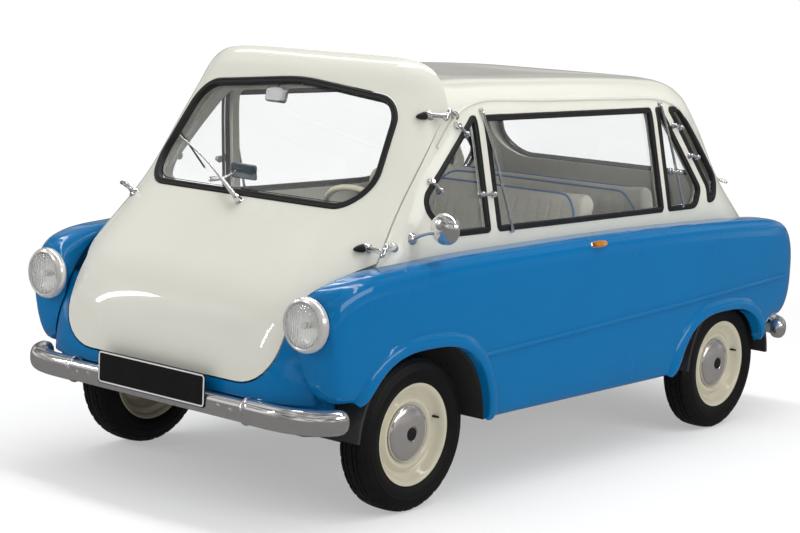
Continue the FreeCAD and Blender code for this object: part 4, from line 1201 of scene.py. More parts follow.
# Wheels and tyres. Pressed steel wheels in the body's cream with a deep step, a
# dished chrome cap with a black centre, and narrow tyres with a ribbed tread.
TYRE_RADIUS = 0.250
wheel_look = enamel("cream_wheel", (0.62, 0.585, 0.455), (0.56, 0.52, 0.40))
tyre_look = black_rubber("tyre_rubber", (0.004, 0.004, 0.0045), (0.010, 0.0098, 0.0095), 700.0)
centre_look = black_rubber("cap_centre", (0.010, 0.010, 0.012), (0.016, 0.016, 0.018), 200.0)
sidewall = [(0.1560, 0.0440), (0.1600, 0.0470), (0.1640, 0.0487), (0.1665, 0.0495), (0.1690, 0.0487),
            (0.1715, 0.0498), (0.1800, 0.0535), (0.1900, 0.0560), (0.2000, 0.0572), (0.2050, 0.0574),
            (0.2062, 0.0582), (0.2078, 0.0582), (0.2090, 0.0572), (0.2170, 0.0560), (0.2250, 0.0535),
            (0.2300, 0.0510), (0.2312, 0.0518), (0.2326, 0.0512), (0.2340, 0.0492), (0.2390, 0.0462),
            (0.2440, 0.0425), (0.2474, 0.0380)]
TREAD_GROOVES = (0.0120, 0.0270)
TREAD_STEPS = 60
GROOVE_DEPTH = 0.0050


def tread_radius(w):
    return TYRE_RADIUS - 0.0026 * (abs(w) / 0.038) ** 2.4


tread = [(tread_radius(w), w) for w in np.linspace(-0.0355, 0.0355, 49)]
inner_side = [(r, -w) for r, w in sidewall[::-1]]
tyre_profile = sidewall + tread[::-1] + inner_side + [(0.1545, -0.040), (0.1545, 0.040)]


def tyre_mesh(name, centre, side):
    """Tyre with wavy grooves, cuts at both shoulders and short slits in the middle."""
    steps = 300
    first, last = len(sidewall), len(sidewall) + len(tread)
    verts = []
    for k in range(steps):
        a = 2 * math.pi * k / steps
        wave = abs((k * TREAD_STEPS / steps) % 2 - 1) * 2 - 1
        cut = (k * TREAD_STEPS // steps) % 2 == 0 and (k * TREAD_STEPS % steps) < steps * 0.34
        slit = (k * 30 % steps) < steps * 0.12
        for j, (r, w) in enumerate(tyre_profile):
            depth = 0.0
            if first <= j < last:
                for groove in TREAD_GROOVES:
                    for sign in (1, -1):
                        gap = abs(w - sign * groove - 0.0010 * wave)
                        depth = max(depth, GROOVE_DEPTH * min(1, max(0, (0.0026 - gap) / 0.0008)))
                if abs(w) > 0.0300 and cut:
                    depth = max(depth, 0.0040)
                if abs(w) < 0.0095 and slit:
                    depth = max(depth, 0.0018)
            elif first - 4 <= j < last + 4 and cut:
                depth = 0.0022
            verts.append((centre[0] + side * w, centre[1] + (r - depth) * math.cos(a),
                          centre[2] + (r - depth) * math.sin(a)))
    return smoothed(new_piece(name, verts, tube_faces(steps, len(tyre_profile), True)), 0.7)


RIM_PROFILE = [(0.1640, 0.0500), (0.1655, 0.0485), (0.1655, 0.0455), (0.1630, 0.0440), (0.1560, 0.0435),
               (0.1550, 0.030), (0.1400, 0.020), (0.1370, 0.000), (0.1380, -0.020), (0.1550, -0.030),
               (0.1560, -0.0435), (0.1630, -0.0440), (0.1655, -0.0470), (0.1640, -0.0500),
               (0.1600, -0.0500), (0.1530, -0.0440), (0.1490, -0.030), (0.1320, -0.020), (0.1260, -0.006),
               (0.1180, 0.0100), (0.1050, 0.0210), (0.0930, 0.0130), (0.0300, 0.0120), (0.0300, -0.034),
               (0.0143, -0.034), (0.0143, 0.0180), (0.0900, 0.0180), (0.1040, 0.0275), (0.1110, 0.0265),
               (0.1190, 0.0200), (0.1250, 0.0160), (0.1330, 0.0190), (0.1400, 0.0260), (0.1450, 0.0340),
               (0.1490, 0.0400), (0.1530, 0.0450), (0.1590, 0.0490)]
CAP_PROFILE = [(0.0, 0.0405), (0.020, 0.0400), (0.0245, 0.0410), (0.0262, 0.0435), (0.030, 0.0432),
               (0.050, 0.0410), (0.070, 0.0372), (0.084, 0.0325), (0.0895, 0.0290), (0.0915, 0.0250),
               (0.0905, 0.0190), (0.0870, 0.0190), (0.0855, 0.0260), (0.060, 0.0340), (0.0, 0.0360)]
BUTTON_PROFILE = [(0.0, 0.0400), (0.0205, 0.0400), (0.0215, 0.0420), (0.0200, 0.0440), (0.012, 0.0452),
                  (0.0, 0.0455)]
CAP_BAND = [(0.0870, 0.0312), (0.0905, 0.0295), (0.0925, 0.0262), (0.0920, 0.0215), (0.0895, 0.0200),
            (0.0880, 0.0260)]
VALVE_PROFILE = [(0, -0.020), (0.004, -0.020), (0.0042, 0.0), (0.0034, 0.004), (0.0034, 0.012), (0, 0.013)]
for corner, side, y in (("front_left", 1, -AXLE_AHEAD), ("front_right", -1, -AXLE_AHEAD),
                        ("rear_left", 1, AXLE_AHEAD), ("rear_right", -1, AXLE_AHEAD)):
    centre = (side * 0.600, y, TYRE_RADIUS)
    body = corner + "_wheel"
    out = (side, 0, 0)
    dress(tyre_mesh(corner + "_tyre", centre, side), tyre_look, "tyre_rubber", body, "tyre_" + corner)
    rim = lathe(corner + "_rim", RIM_PROFILE, centre, out, 96)
    dress(rim, wheel_look, "cream_paint", body, "wheel_" + corner)
    dress(lathe(corner + "_cap", CAP_PROFILE, centre, out, 96, 0.7), satin_look, "chromed", body)
    dress(lathe(corner + "_cap_band", CAP_BAND, centre, out, 96, 0.9), chrome_look, "chromed", body)
    button = lathe(corner + "_cap_centre", BUTTON_PROFILE, centre, out, 48, 0.7)
    dress(button, centre_look, "window_rubber", body)
    valve_foot = (centre[0] + side * 0.030, y + 0.1290, TYRE_RADIUS + 0.036)
    dress(lathe(corner + "_valve", VALVE_PROFILE, valve_foot, out, 20), tyre_look, "window_rubber", body)

# Door hinges. Chromed forgings stand out from the pillar and the door and share a
# slanted pin; each door half ends in a black rubber cone that takes up rattle.
HINGE_LOW = np.array([0.652, -1.097, 0.843])
HINGE_TOP = np.array([0.578, -0.731, 1.238])
PIN_LINE = (HINGE_TOP - HINGE_LOW) / np.linalg.norm(HINGE_TOP - HINGE_LOW)
REAR_SHIFT = 0.025


def bar(name, points, radii, steps=20, count=None):
    """Round bar through the points, its thickness changing along it."""
    points = np.asarray(points, float)
    if len(points) > 2:
        spine = smooth_line(points, count or 12 * len(points))
    else:
        spine = np.linspace(points[0], points[1], count or 8)
    share = np.linspace(0, 1, len(spine))
    thick = np.interp(share, np.linspace(0, 1, len(radii)), radii)
    tangent = np.gradient(spine, axis=0)
    tangent /= np.linalg.norm(tangent, axis=1)[:, None]
    helper = np.array([0, 0, 1.0]) if abs(tangent[0, 2]) < 0.9 else np.array([1.0, 0, 0])
    beside = np.cross(tangent[0], helper)
    rims = []
    for spot, ahead, r in zip(spine, tangent, thick):
        beside = beside - ahead * (beside @ ahead)
        beside /= np.linalg.norm(beside)
        rims.append((spot, ahead, beside, np.cross(ahead, beside), r))
    first, last = rims[0], rims[-1]
    rims.insert(0, (first[0] - first[1] * first[4] * 0.35, *first[1:4], first[4] * 0.72))
    rims.append((last[0] + last[1] * last[4] * 0.35, *last[1:4], last[4] * 0.72))
    verts = []
    for spot, _, side, other, r in rims:
        verts.extend(spot + (side * math.cos(a) + other * math.sin(a)) * r for a in turns(steps))
    return smoothed(new_piece(name, verts, tube_faces(len(rims), steps)), 0.9)


def flank_foot(y, z, table, side):
    return side_point(np.array([y]), np.array([z]), table, 0.0, side)[0]


def outward_at(spot, table):
    return skin_normal(np.array([spot]), table)[0]


def arm_and_foot(start, foot, out, radii, profile):
    """Bent arm from a hinge's pin, and its round foot on the skin."""
    bend = start * 0.5 + foot * 0.5 + out * 0.002
    return [bar("arm", [start, bend, foot - out * 0.002], radii),
            lathe("foot", profile, foot, out, 32, 0.7)]


EYE_RADII = [0.0085, 0.009, 0.009, 0.0085]
EYE_START = 0.0115
DOOR_FOOT = [(0, -0.004), (0.0165, -0.004), (0.0172, 0.001), (0.0150, 0.0045), (0.009, 0.0085), (0, 0.010)]
PILLAR_FOOT = [(0, -0.004), (0.0150, -0.004), (0.0158, 0.001), (0.0138, 0.0045), (0.008, 0.0085), (0, 0.010)]
CONE_PROFILE = [(0, -0.004), (0.0125, -0.003), (0.0132, 0.004), (0.0105, 0.016), (0.0060, 0.027),
                (0.0030, 0.031), (0, 0.032)]
door_parts = {"front": [], "rear": []}
cones = {"front": [], "rear": []}
pillar_parts = []
for end_name, side, spin, shift, table in (("front", 1, 1, 0.0, dome_table),
                                           ("rear", -1, -1, REAR_SHIFT, roof_table)):
    for pin, door_y, pillar_y in ((HINGE_LOW, -1.068, -0.985), (HINGE_TOP, -0.760, -0.664)):
        turn = np.array([spin, spin, 1])
        place = pin * turn + [0, shift, 0]
        line = PIN_LINE * turn
        door_foot = flank_foot(door_y * spin + shift, pin[2], table, side)
        pillar_foot = flank_foot(pillar_y * spin + shift, pin[2], roof_table, side)
        n_door, n_pillar = outward_at(door_foot, table), outward_at(pillar_foot, roof_table)
        parts = door_parts[end_name]
        parts.append(bar("barrel", [place - line * 0.0105, place + line * 0.0105], EYE_RADII, 24))
        parts += arm_and_foot(place, door_foot, n_door, [0.0092, 0.0088, 0.0105], DOOR_FOOT)
        away = door_foot - pillar_foot
        away -= n_door * (away @ n_door)
        away /= np.linalg.norm(away)
        seat_spot = door_foot + away * 0.018 + n_door * 0.007
        cone_way = away * 0.9 - n_door * 0.12
        cones[end_name].append(lathe("cone", CONE_PROFILE, seat_spot, cone_way, 28, 0.8))
        eye_foot = place + line * EYE_START
        eye = place + line * (EYE_START + 0.008)
        pillar_parts.append(bar("eye", [eye_foot, place + line * (EYE_START + 0.016)], EYE_RADII, 24))
        pin_line = [place - line * 0.0155, eye_foot]
        pillar_parts.append(bar("pin", pin_line, [0.0068, 0.004, 0.004, 0.004], 16, 16))
        pillar_parts += arm_and_foot(eye, pillar_foot, n_pillar, [0.0088, 0.0085, 0.0100], PILLAR_FOOT)
dress(joined("pillar_hinge_halves", pillar_parts), chrome_look, "chromed", "body", "pillar_hinges")

# Door handles. A chromed lever swings over a round rose near each door's free edge.
# It is one casting, and its shank runs through the door to the catch.
LEVER_ROSE = [(0, -0.003), (0.0195, -0.003), (0.0205, 0.001), (0.0185, 0.005), (0.0115, 0.0085),
              (0.0095, 0.013), (0, 0.013)]


def lever(table, y, z, side):
    foot = flank_foot(y, z, table, side)
    out = outward_at(foot, table)
    level = np.cross([0, 0, 1.0], out)
    level /= np.linalg.norm(level)
    if level[1] * y > 0:
        level = -level
    head = foot + out * 0.038
    grip_line = [head - level * 0.013 + out * 0.001, head + level * 0.012 + out * 0.003,
                 head + level * 0.055 + out * 0.002, head + level * 0.092 - out * 0.006]
    return [lathe("rose", LEVER_ROSE, foot, out, 40, 0.7),
            bar("shank", [foot + out * 0.008, head], [0.0088, 0.0075, 0.0072, 0.0085], 24),
            bar("grip", grip_line, [0.0085, 0.0088, 0.0072, 0.0062, 0.0068, 0.0072, 0.0050], 24)]


door_parts["front"] += lever(dome_table, -1.060, 0.902, -1)
door_parts["rear"] += lever(roof_table, 1.085, 0.902, 1)
for end_name in ("front", "rear"):
    door = end_name + "_door"
    dress(joined(door + "_chrome", door_parts[end_name]), chrome_look, "chromed", door, door + "_fittings")
    dress(joined(door + "_cones", cones[end_name]), rubber_look, "window_rubber", door)

# Wiper. A chromed spindle with its nut stands under the windscreen and carries a
# bent spring arm, with a thin rubber blade parked on the glass.
WIPER_FOOT = np.array([0.003, -1.0665, 0.928])
WIPER_OUT = np.array([0.0, -0.72, 0.69])


def nose_spot(x, z, inset):
    return end_point(np.array([x]), np.array([z]), dome_table, inset, -1)[0]


def glass_point(x, z, lift):
    spot = nose_spot(x, z, GLASS_DEPTH)
    return spot + outward_at(spot, dome_table) * lift


heel = glass_point(-0.205, 1.012, 0.020)
tip = glass_point(-0.425, 1.090, 0.014)
blade_low, blade_high = glass_point(-0.235, 1.005, 0.006), glass_point(-0.432, 1.100, 0.006)
SPINDLE_PROFILE = [(0, -0.006), (0.0150, -0.006), (0.0160, 0.001), (0.0130, 0.006), (0.0105, 0.014),
                   (0.0110, 0.024), (0.0080, 0.030), (0, 0.031)]
BLADE_SECTION = [(-0.0028, 0.0075), (-0.0030, 0.0030), (-0.0008, 0.0010), (-0.0005, -0.0050),
                 (0.0005, -0.0050), (0.0008, 0.0010), (0.0030, 0.0030), (0.0028, 0.0075)]
spindle = lathe("spindle", SPINDLE_PROFILE, WIPER_FOOT, WIPER_OUT, 36, 0.7)
arm_line = [WIPER_FOOT + WIPER_OUT * 0.020, WIPER_FOOT * 0.62 + heel * 0.38 + WIPER_OUT * 0.016, heel, tip]
spring_arm = bar("spring_arm", arm_line, [0.0088, 0.0075, 0.0048, 0.0034, 0.0030, 0.0028], 16, 60)
cap_nut = lathe("cap_nut", [(0, 0), (0.0065, 0), (0.0065, 0.004), (0.0045, 0.0065), (0, 0.007)],
                WIPER_FOOT + WIPER_OUT * 0.030, WIPER_OUT, 6, 0.3)
wiper_parts = [spindle, spring_arm, cap_nut]
dress(joined("wiper_arm", wiper_parts), chrome_look, "chromed", "front_door", "wiper")
blade_line = np.linspace(blade_low, blade_high, 24)
blade = sweep("wiper_blade", blade_line, [WIPER_OUT] * 24, BLADE_SECTION)
dress(blade, rubber_look, "window_rubber", "front_door")

# Outside mirror. A round chromed bowl with its glass, on a bent stalk whose rose is
# screwed to the left pillar.
MIRROR_HEAD = np.array([0.700, -0.861, 0.904])
mirror_foot = flank_foot(-0.907, 0.865, roof_table, 1)
mirror_out = outward_at(mirror_foot, roof_table)
facing = np.array([-0.10, 0.99, 0.06])
bowl = lathe("bowl", [(0, -0.031), (0.015, -0.0302), (0.029, -0.0265), (0.041, -0.0205), (0.0485, -0.011),
                      (0.0510, -0.002), (0.0515, 0.004), (0.0490, 0.0062), (0.0465, 0.0050),
                      (0.0460, 0.0025), (0, 0.0035)], MIRROR_HEAD + [0, -0.002, 0], facing, 64, 0.8)
stalk_line = [mirror_foot + mirror_out * 0.004, mirror_foot + mirror_out * 0.030 + [0, 0.012, 0.008],
              MIRROR_HEAD + [-0.012, -0.016, -0.012]]
stalk = bar("stalk", stalk_line, [0.0085, 0.0062, 0.0050, 0.0052, 0.0075], 20)
rose = lathe("rose", [(0, -0.003), (0.0185, -0.003), (0.0195, 0.001), (0.0170, 0.0055), (0.0100, 0.010),
                      (0, 0.011)], mirror_foot, mirror_out, 40, 0.7)
dress(joined("side_mirror_chrome", [bowl, stalk, rose]), chrome_look, "chromed", "body", "side_mirror")
mirror_glass_look = bright_metal("mirror_glass", (0.74, 0.78, 0.82), 0.012, 0.05, 14.0)
dress(lathe("side_mirror_glass", [(0, 0.0005), (0.0455, 0.0005), (0.0455, 0.0026), (0.0440, 0.0036),
                                  (0, 0.0042)], MIRROR_HEAD + [0, -0.001, 0], facing, 64, 0.6),
      mirror_glass_look, "chromed", "body")

# Side markers. Long amber glasses in chromed frames, one on each flank just under
# the belt, screwed on from inside.
amber_look = lamp_glass("amber_glass", (0.90, 0.30, 0.015), 120.0)
red_look = lamp_glass("red_glass", (0.62, 0.020, 0.012), 90.0)


def lozenge(half_long, half_high, count=40):
    return [(squared(math.cos(a), 0.7) * half_long, squared(math.sin(a), 0.8) * half_high)
            for a in turns(count)]


def domed(name, middle, out, along, half_long, half_high, levels):
    """Long raised button standing on a skin: rings of an oval at rising levels."""
    upward = np.cross(out, along)
    verts = []
    for share, lift in levels:
        line = lozenge(half_long * share, half_high * share)
        verts.extend(middle + along * a + upward * b + out * lift for a, b in line)
    return smoothed(new_piece(name, verts, tube_faces(len(levels), len(line))), 0.8)


MARKER_Y, MARKER_Z = -0.034, 0.7925
marker_glasses, marker_frames = [], []
for side in (1, -1):
    spot = np.array([side * float(side_out(MARKER_Y, MARKER_Z)), MARKER_Y, MARKER_Z])
    out = side_normal(np.array([[0.7, MARKER_Y, MARKER_Z]]), side)[0]
    along = np.array([0, 1.0, 0])
    marker_frames.append(domed("frame", spot, out, along, 0.047, 0.0125,
                               [(1.0, -0.010), (1.02, 0.003), (0.95, 0.006), (0.86, 0.0065)]))
    marker_glasses.append(domed("glass", spot, out, along, 0.0415, 0.0095,
                                [(1.0, 0.004), (1.0, 0.009), (0.92, 0.013), (0.7, 0.0155), (0.3, 0.0165)]))
dress(joined("side_marker_glasses", marker_glasses), amber_look, "amber_lens", "body", "side_markers")
dress(joined("side_marker_frames", marker_frames), chrome_look, "chromed", "body")

# Tail lamps. Domed red glasses pressed into chromed rings, one on the end of each
# tail swelling.
TAIL_GLASS = [(0, -0.004), (0.0365, -0.004), (0.0365, 0.015), (0.0345, 0.024), (0.029, 0.030),
              (0.019, 0.0345), (0, 0.0365)]
TAIL_RING = [(0.0372, 0.0175), (0.0405, 0.0150), (0.0435, 0.0080), (0.0440, -0.012), (0.0372, -0.012)]
tail_glasses, tail_rings = [], []
for side in (1, -1):
    base = (side * 0.590, 1.388, 0.590)
    tail_glasses.append(lathe("glass", TAIL_GLASS, base, (0, 1, 0), 64, 0.7))
    tail_rings.append(lathe("ring", TAIL_RING, base, (0, 1, 0), 64, 0.7))
dress(joined("tail_lamp_glasses", tail_glasses), red_look, "red_lens", "body", "tail_lamps")
dress(joined("tail_lamp_rings", tail_rings), chrome_look, "chromed", "body")

# Roof gutters. A cream drip moulding runs up each windscreen pillar, over the side
# windows and down behind the last pane.
gutters = []
gutter_line = [(-0.760, 1.140), (-0.700, 1.205), (-0.640, 1.250), (-0.560, 1.274), (-0.350, 1.279),
               (0.020, 1.274), (0.350, 1.270), (0.520, 1.262), (0.600, 1.242), (0.690, 1.185),
               (0.780, 1.100), (0.860, 1.010)]
for side in (1, -1):
    line = smooth_line(gutter_line, 220)
    path = side_point(line[:, 0], line[:, 1], roof_table, 0.0, side)
    gutters.append(sweep("gutter", path, skin_normal(path, roof_table),
                         [(-0.006, -0.003), (-0.005, 0.0035), (-0.002, 0.0070), (0.002, 0.0072),
                          (0.005, 0.0040), (0.006, -0.003)]))
dress(joined("roof_gutters", gutters), cream_look, "cream_paint", "body")

# Window furniture. Thin chromed stays stand beside the pillars, and small pivots
# and catches hold the opening panes, on both flanks.
STAY_FOOT = [(0, -0.002), (0.0070, -0.002), (0.0070, 0.004), (0.0045, 0.009), (0.0040, 0.013), (0, 0.0135)]
CATCH_FOOT = [(0, -0.002), (0.0128, -0.002), (0.0132, 0.002), (0.0112, 0.006), (0.0088, 0.011),
              (0.0090, 0.016), (0.0060, 0.0195), (0, 0.020)]
STAYS = (((-0.408, 0.853), (-0.547, 1.252)), ((0.632, 0.872), (0.500, 1.248)))
CATCHES = (((-0.668, 1.206), (-0.632, 1.178)), ((-0.806, 1.036), (-0.772, 1.006)),
           ((-0.565, 0.984), (-0.502, 0.980)), ((0.584, 1.168), (0.626, 1.160)),
           ((0.690, 1.054), (0.735, 1.046)), ((0.560, 1.002), (0.610, 0.996)))
furniture = []


def on_flank(y, z, lift, side):
    spot = flank_foot(y, z, roof_table, side)
    return spot + outward_at(spot, roof_table) * lift


def flank_feet(name, spots, profile, steps, side):
    feet = [on_flank(*spot, 0.0, side) for spot in spots]
    return [lathe(name, profile, foot, outward_at(foot, roof_table), steps, 0.7) for foot in feet]


for side in (1, -1):
    for low, high in STAYS:
        line = [on_flank(high[0] + (low[0] - high[0]) * t, high[1] + (low[1] - high[1]) * t, 0.010, side)
                for t in (0, 0.33, 0.67, 1)]
        furniture.append(bar("stay", line, [0.0050] * 4, 12, 30))
        furniture += flank_feet("stay_foot", (high, low), STAY_FOOT, 20, side)
    for spots in CATCHES:
        line = [on_flank(*spot, 0.010, side) for spot in spots]
        furniture.append(bar("catch", line, [0.0072, 0.0056, 0.0056, 0.0072], 16, 14))
        furniture += flank_feet("catch_foot", spots, CATCH_FOOT, 24, side)
dress(joined("side_window_fittings", furniture), chrome_look, "chromed", "body")

# Benches. Two foam cushions and two backrests in pale grey cloth, plumped by a
# cloth simulation, with sewn upright pleats and blue piping round their faces.


def woven_cloth(name, color, shade, threads):
    look = bpy.data.materials.new(name)
    look.use_nodes = True
    nodes = look.node_tree.nodes
    cloth = nodes["Principled BSDF"]
    cloth.inputs["Roughness"].default_value = 0.78
    cloth.inputs["Sheen Weight"].default_value = 0.25
    cloth.inputs["Specular IOR Level"].default_value = 0.3
    place = nodes.new("ShaderNodeTexCoord")
    split = nodes.new("ShaderNodeSeparateXYZ")
    wire(look.node_tree, [(place, "Object", split, 0)])
    waves = []
    for axis in ("X", "Z", "Y"):
        scaled, wave = nodes.new("ShaderNodeMath"), nodes.new("ShaderNodeMath")
        scaled.operation, wave.operation = "MULTIPLY", "SINE"
        scaled.inputs[1].default_value = threads
        wire(look.node_tree, [(split, axis, scaled, 0), (scaled, 0, wave, 0)])
        waves.append(wave)
    weave, both = nodes.new("ShaderNodeMath"), nodes.new("ShaderNodeMath")
    weave.operation, both.operation = "MULTIPLY", "ADD"
    fade = nodes.new("ShaderNodeTexNoise")
    fade.inputs["Scale"].default_value = 7.0
    fade.inputs["Detail"].default_value = 5.0
    tint = nodes.new("ShaderNodeMix")
    tint.data_type = "RGBA"
    tint.inputs[6].default_value = (*color, 1)
    tint.inputs[7].default_value = (*shade, 1)
    ripple = nodes.new("ShaderNodeBump")
    ripple.inputs["Strength"].default_value = 0.35
    ripple.inputs["Distance"].default_value = 0.0006
    wire(look.node_tree, [
        (waves[0], 0, weave, 0), (waves[1], 0, weave, 1), (weave, 0, both, 0), (waves[2], 0, both, 1),
        (place, "Object", fade, "Vector"), (fade, "Fac", tint, "Factor"), (tint, 2, cloth, "Base Color"),
        (both, 0, ripple, "Height"), (ripple, "Normal", cloth, "Normal")])
    return look


seat_look = woven_cloth("grey_cloth", (0.50, 0.48, 0.42), (0.43, 0.41, 0.36), 1400.0)
piping_look = woven_cloth("blue_piping", (0.020, 0.150, 0.370), (0.014, 0.120, 0.310), 1800.0)
PLEAT = 0.052
PLEAT_DEPTH = 0.0055
VOXEL = 0.011
SWELL = 0.011


def plumped(name, outline, half):
    """Foam block under a cover: a rounded block that is blown up as cloth."""
    rough = prism(name, outline, "X", -half, half)
    soften = rough.modifiers.new("soften", "BEVEL")
    soften.width = 0.030
    soften.segments = 4
    soften.limit_method = "ANGLE"
    soften.angle_limit = 0.9
    mesh_of_cells = rough.modifiers.new("cells", "REMESH")
    mesh_of_cells.mode = "VOXEL"
    mesh_of_cells.voxel_size = VOXEL
    settle(rough)
    rest = read_out(rough.data.vertices, "co")
    cover = rough.modifiers.new("cover", "CLOTH")
    cover.settings.quality = 4
    cover.settings.mass = 0.3
    cover.settings.tension_stiffness = 18
    cover.settings.compression_stiffness = 18
    cover.settings.bending_stiffness = 1.2
    cover.settings.use_pressure = True
    cover.settings.uniform_pressure_force = 4.0
    cover.settings.effector_weights.gravity = 0
    cover.point_cache.frame_start, cover.point_cache.frame_end = 1, 20
    for frame_number in range(1, 21):
        scene.frame_set(frame_number)
    settle(rough)
    step = read_out(rough.data.vertices, "co") - rest
    length = np.linalg.norm(step, axis=1)[:, None] + 1e-9
    step *= np.minimum(1, SWELL / length)
    rough.data.vertices.foreach_set("co", (rest + step).ravel())
    scene.frame_set(1)
    finer = rough.modifiers.new("finer", "SUBSURF")
    finer.levels = finer.render_levels = 1
    settle(rough)
    return rough


def pleated(piece, facing, tilt, half, axis, low, high):
    """Sewn channels across the faces that look along 'facing', from low to high
    along the axis."""
    mesh = piece.data
    spots = read_out(mesh.vertices, "co")
    agree = np.clip((read_out(mesh.vertex_normals, "vector") @ np.array(facing) - tilt) / 0.3, 0, 1)
    inside = np.clip((half - np.abs(spots[:, 0])) / 0.012, 0, 1)
    for reach in (spots[:, axis] - low, high - spots[:, axis]):
        inside = inside * np.clip(reach / 0.02, 0, 1)
    phase = np.abs((spots[:, 0] / PLEAT + 0.5) % 1 - 0.5) * PLEAT
    depth = PLEAT_DEPTH * np.exp(-(phase / PLEAT_DEPTH) ** 2)
    spots -= np.array(facing) * (depth * agree * inside)[:, None]
    mesh.vertices.foreach_set("co", spots.ravel())
    mesh.polygons.foreach_set("use_smooth", [True] * len(mesh.polygons))
    mesh.update()


def piping(name, piece, ring, facing, radius=0.0042):
    """Cord sewn round one face: a ring of points dropped onto the cover."""
    depsgraph = bpy.context.evaluated_depsgraph_get()
    depsgraph.update()
    path, normals = [], []
    towards = -Vector(facing)
    for spot in ring:
        start = Vector(spot) - towards * 0.25
        hit, place, normal, _ = piece.ray_cast(start, towards, distance=0.6)
        if hit:
            path.append(np.array(place + normal * radius * 0.35))
            normals.append(np.array(normal))
    section = [(radius * math.cos(t), radius * math.sin(t)) for t in np.linspace(0, 2 * math.pi, 11)[:-1]]
    path = np.array(path)
    for _ in range(3):
        path = (np.roll(path, 1, 0) + path * 2 + np.roll(path, -1, 0)) / 4
    return sweep(name, path, normals, section, closed=True, angle=1.2)


def face_ring(half, low, high, corner_low, corner_high):
    return even(rounded_outline([(-half, low), (half, low), (half, high), (-half, high)],
                                [corner_low, corner_low, corner_high, corner_high], 12), 0.012)


BENCH_HALF = 0.515
SEAM = 0.040
RING_HEIGHT = 0.75
BACK_TOP = 0.915
benches = {
    "front_bench_back": ([(0.053, 0.425), (0.142, 0.425), (0.245, 0.935), (0.160, 0.935)],
                         [0.02, 0.02, 0.045, 0.045], BENCH_HALF),
    "rear_bench_back": ([(0.608, 0.590), (0.697, 0.590), (0.607, 0.935), (0.518, 0.935)],
                        [0.02, 0.02, 0.045, 0.045], BENCH_HALF),
    "front_bench_cushion": ([(-0.460, 0.426), (0.031, 0.426), (0.031, 0.543), (-0.460, 0.552)],
                            [0.02, 0.02, 0.02, 0.04], BENCH_HALF),
    "rear_bench_cushion": ([(0.744, 0.426), (1.120, 0.426), (1.120, 0.552), (0.744, 0.543)],
                           [0.02, 0.02, 0.04, 0.02], 0.385),
}
for name, (points, radii, half) in benches.items():
    cushion = plumped(name + "_cover", rounded_outline(points, radii, 6), half - 0.010)
    if name.endswith("back"):
        (low_y, low_z), (high_y, high_z) = points[0], points[3]
        slope = np.array([high_y - low_y, high_z - low_z])
        slope /= np.linalg.norm(slope)
        ahead = np.array([0, -slope[1], slope[0]])
        low = low_z + 0.02
        middle = low_y + (high_y - low_y) * (RING_HEIGHT - low_z) / (high_z - low_z) + 0.045
        ring = [(x, middle + (z - RING_HEIGHT) * slope[0] / slope[1], z)
                for x, z in face_ring(half - SEAM, low, BACK_TOP, 0.03, 0.085)]
        cords = [piping("cord", cushion, ring, facing) for facing in (ahead, -ahead)]
        for facing in (ahead, -ahead):
            pleated(cushion, facing, 0.55, half - 0.055, 2, low + 0.01, BACK_TOP - 0.015)
    else:
        up = (0, 0, 1)
        near, far = points[0][0] + 0.035, points[1][0] - 0.035
        ring = [(x, y, 0.50) for x, y in face_ring(half - SEAM, near, far, 0.06, 0.06)]
        cords = [piping("cord", cushion, ring, up)]
        pleated(cushion, up, 0.6, half - 0.055, 1, near + 0.012, far - 0.012)
    dress(cushion, seat_look, "bench_cloth", "body", name)
    dress(joined(name + "_piping", cords), piping_look, "bench_cloth", "body")

# Steering wheel. A moulded ivory rim with finger grips behind it, three double
# spokes and a hub, with a domed chromed button, on its dark column.
WHEEL_CENTRE = np.array([0.225, -0.640, 0.830])
COLUMN = np.array([0.0, 0.51, 0.45]) / math.hypot(0.51, 0.45)
WHEEL_RADIUS = 0.195
ivory_look = enamel("ivory_plastic", (0.70, 0.66, 0.50), (0.63, 0.58, 0.42), 0.008)
wheel_right = np.array([1.0, 0, 0])
wheel_up = np.cross(COLUMN, wheel_right)
RIM_STEPS = 180
GRIP_BUMPS = 36
ring_turn = np.linspace(0, 2 * math.pi, RIM_STEPS + 1)[:-1]
radial = np.cos(ring_turn)[:, None] * wheel_right + np.sin(ring_turn)[:, None] * wheel_up
RIM_TUBE = 0.0108
rim_verts, rim_wide = [], 20
for k, out in enumerate(radial):
    grip = 0.0012 * (0.5 + 0.5 * math.cos(k * GRIP_BUMPS / RIM_STEPS * 2 * math.pi))
    for a in turns(rim_wide):
        r = RIM_TUBE - (grip if math.sin(a) < -0.1 else 0)
        rim_verts.append(WHEEL_CENTRE + out * (WHEEL_RADIUS + math.cos(a) * r) + COLUMN * math.sin(a) * r)
wheel_parts = [smoothed(new_piece("rim", rim_verts, tube_faces(RIM_STEPS, rim_wide, True)), 1.2)]
SPOKE_LINE = ((0.012, 0.020), (0.014, 0.100), (0.003, 0.188))
HUB_PROFILE = [(0, -0.038), (0.012, -0.038), (0.012, -0.027), (0.0295, -0.025), (0.0300, -0.006),
               (0.0270, 0.0), (0.0230, 0.002), (0.0225, 0.0), (0, 0.0)]
HORN_BUTTON = [(0, 0.0002), (0.0215, 0.0002), (0.0212, 0.004), (0.016, 0.0085), (0.008, 0.0105), (0, 0.011)]
for turn in (90, 210, 330):
    way = math.cos(math.radians(turn)) * wheel_right + math.sin(math.radians(turn)) * wheel_up
    for offset in (-0.007, 0.007):
        beside = np.cross(COLUMN, way) * offset
        line = [WHEEL_CENTRE - COLUMN * deep + way * reach + beside for deep, reach in SPOKE_LINE]
        wheel_parts.append(bar("spoke", line, [0.0052, 0.0044, 0.0050], 14, 20))
wheel_parts.append(lathe("hub", HUB_PROFILE, WHEEL_CENTRE, COLUMN, 48, 0.6))
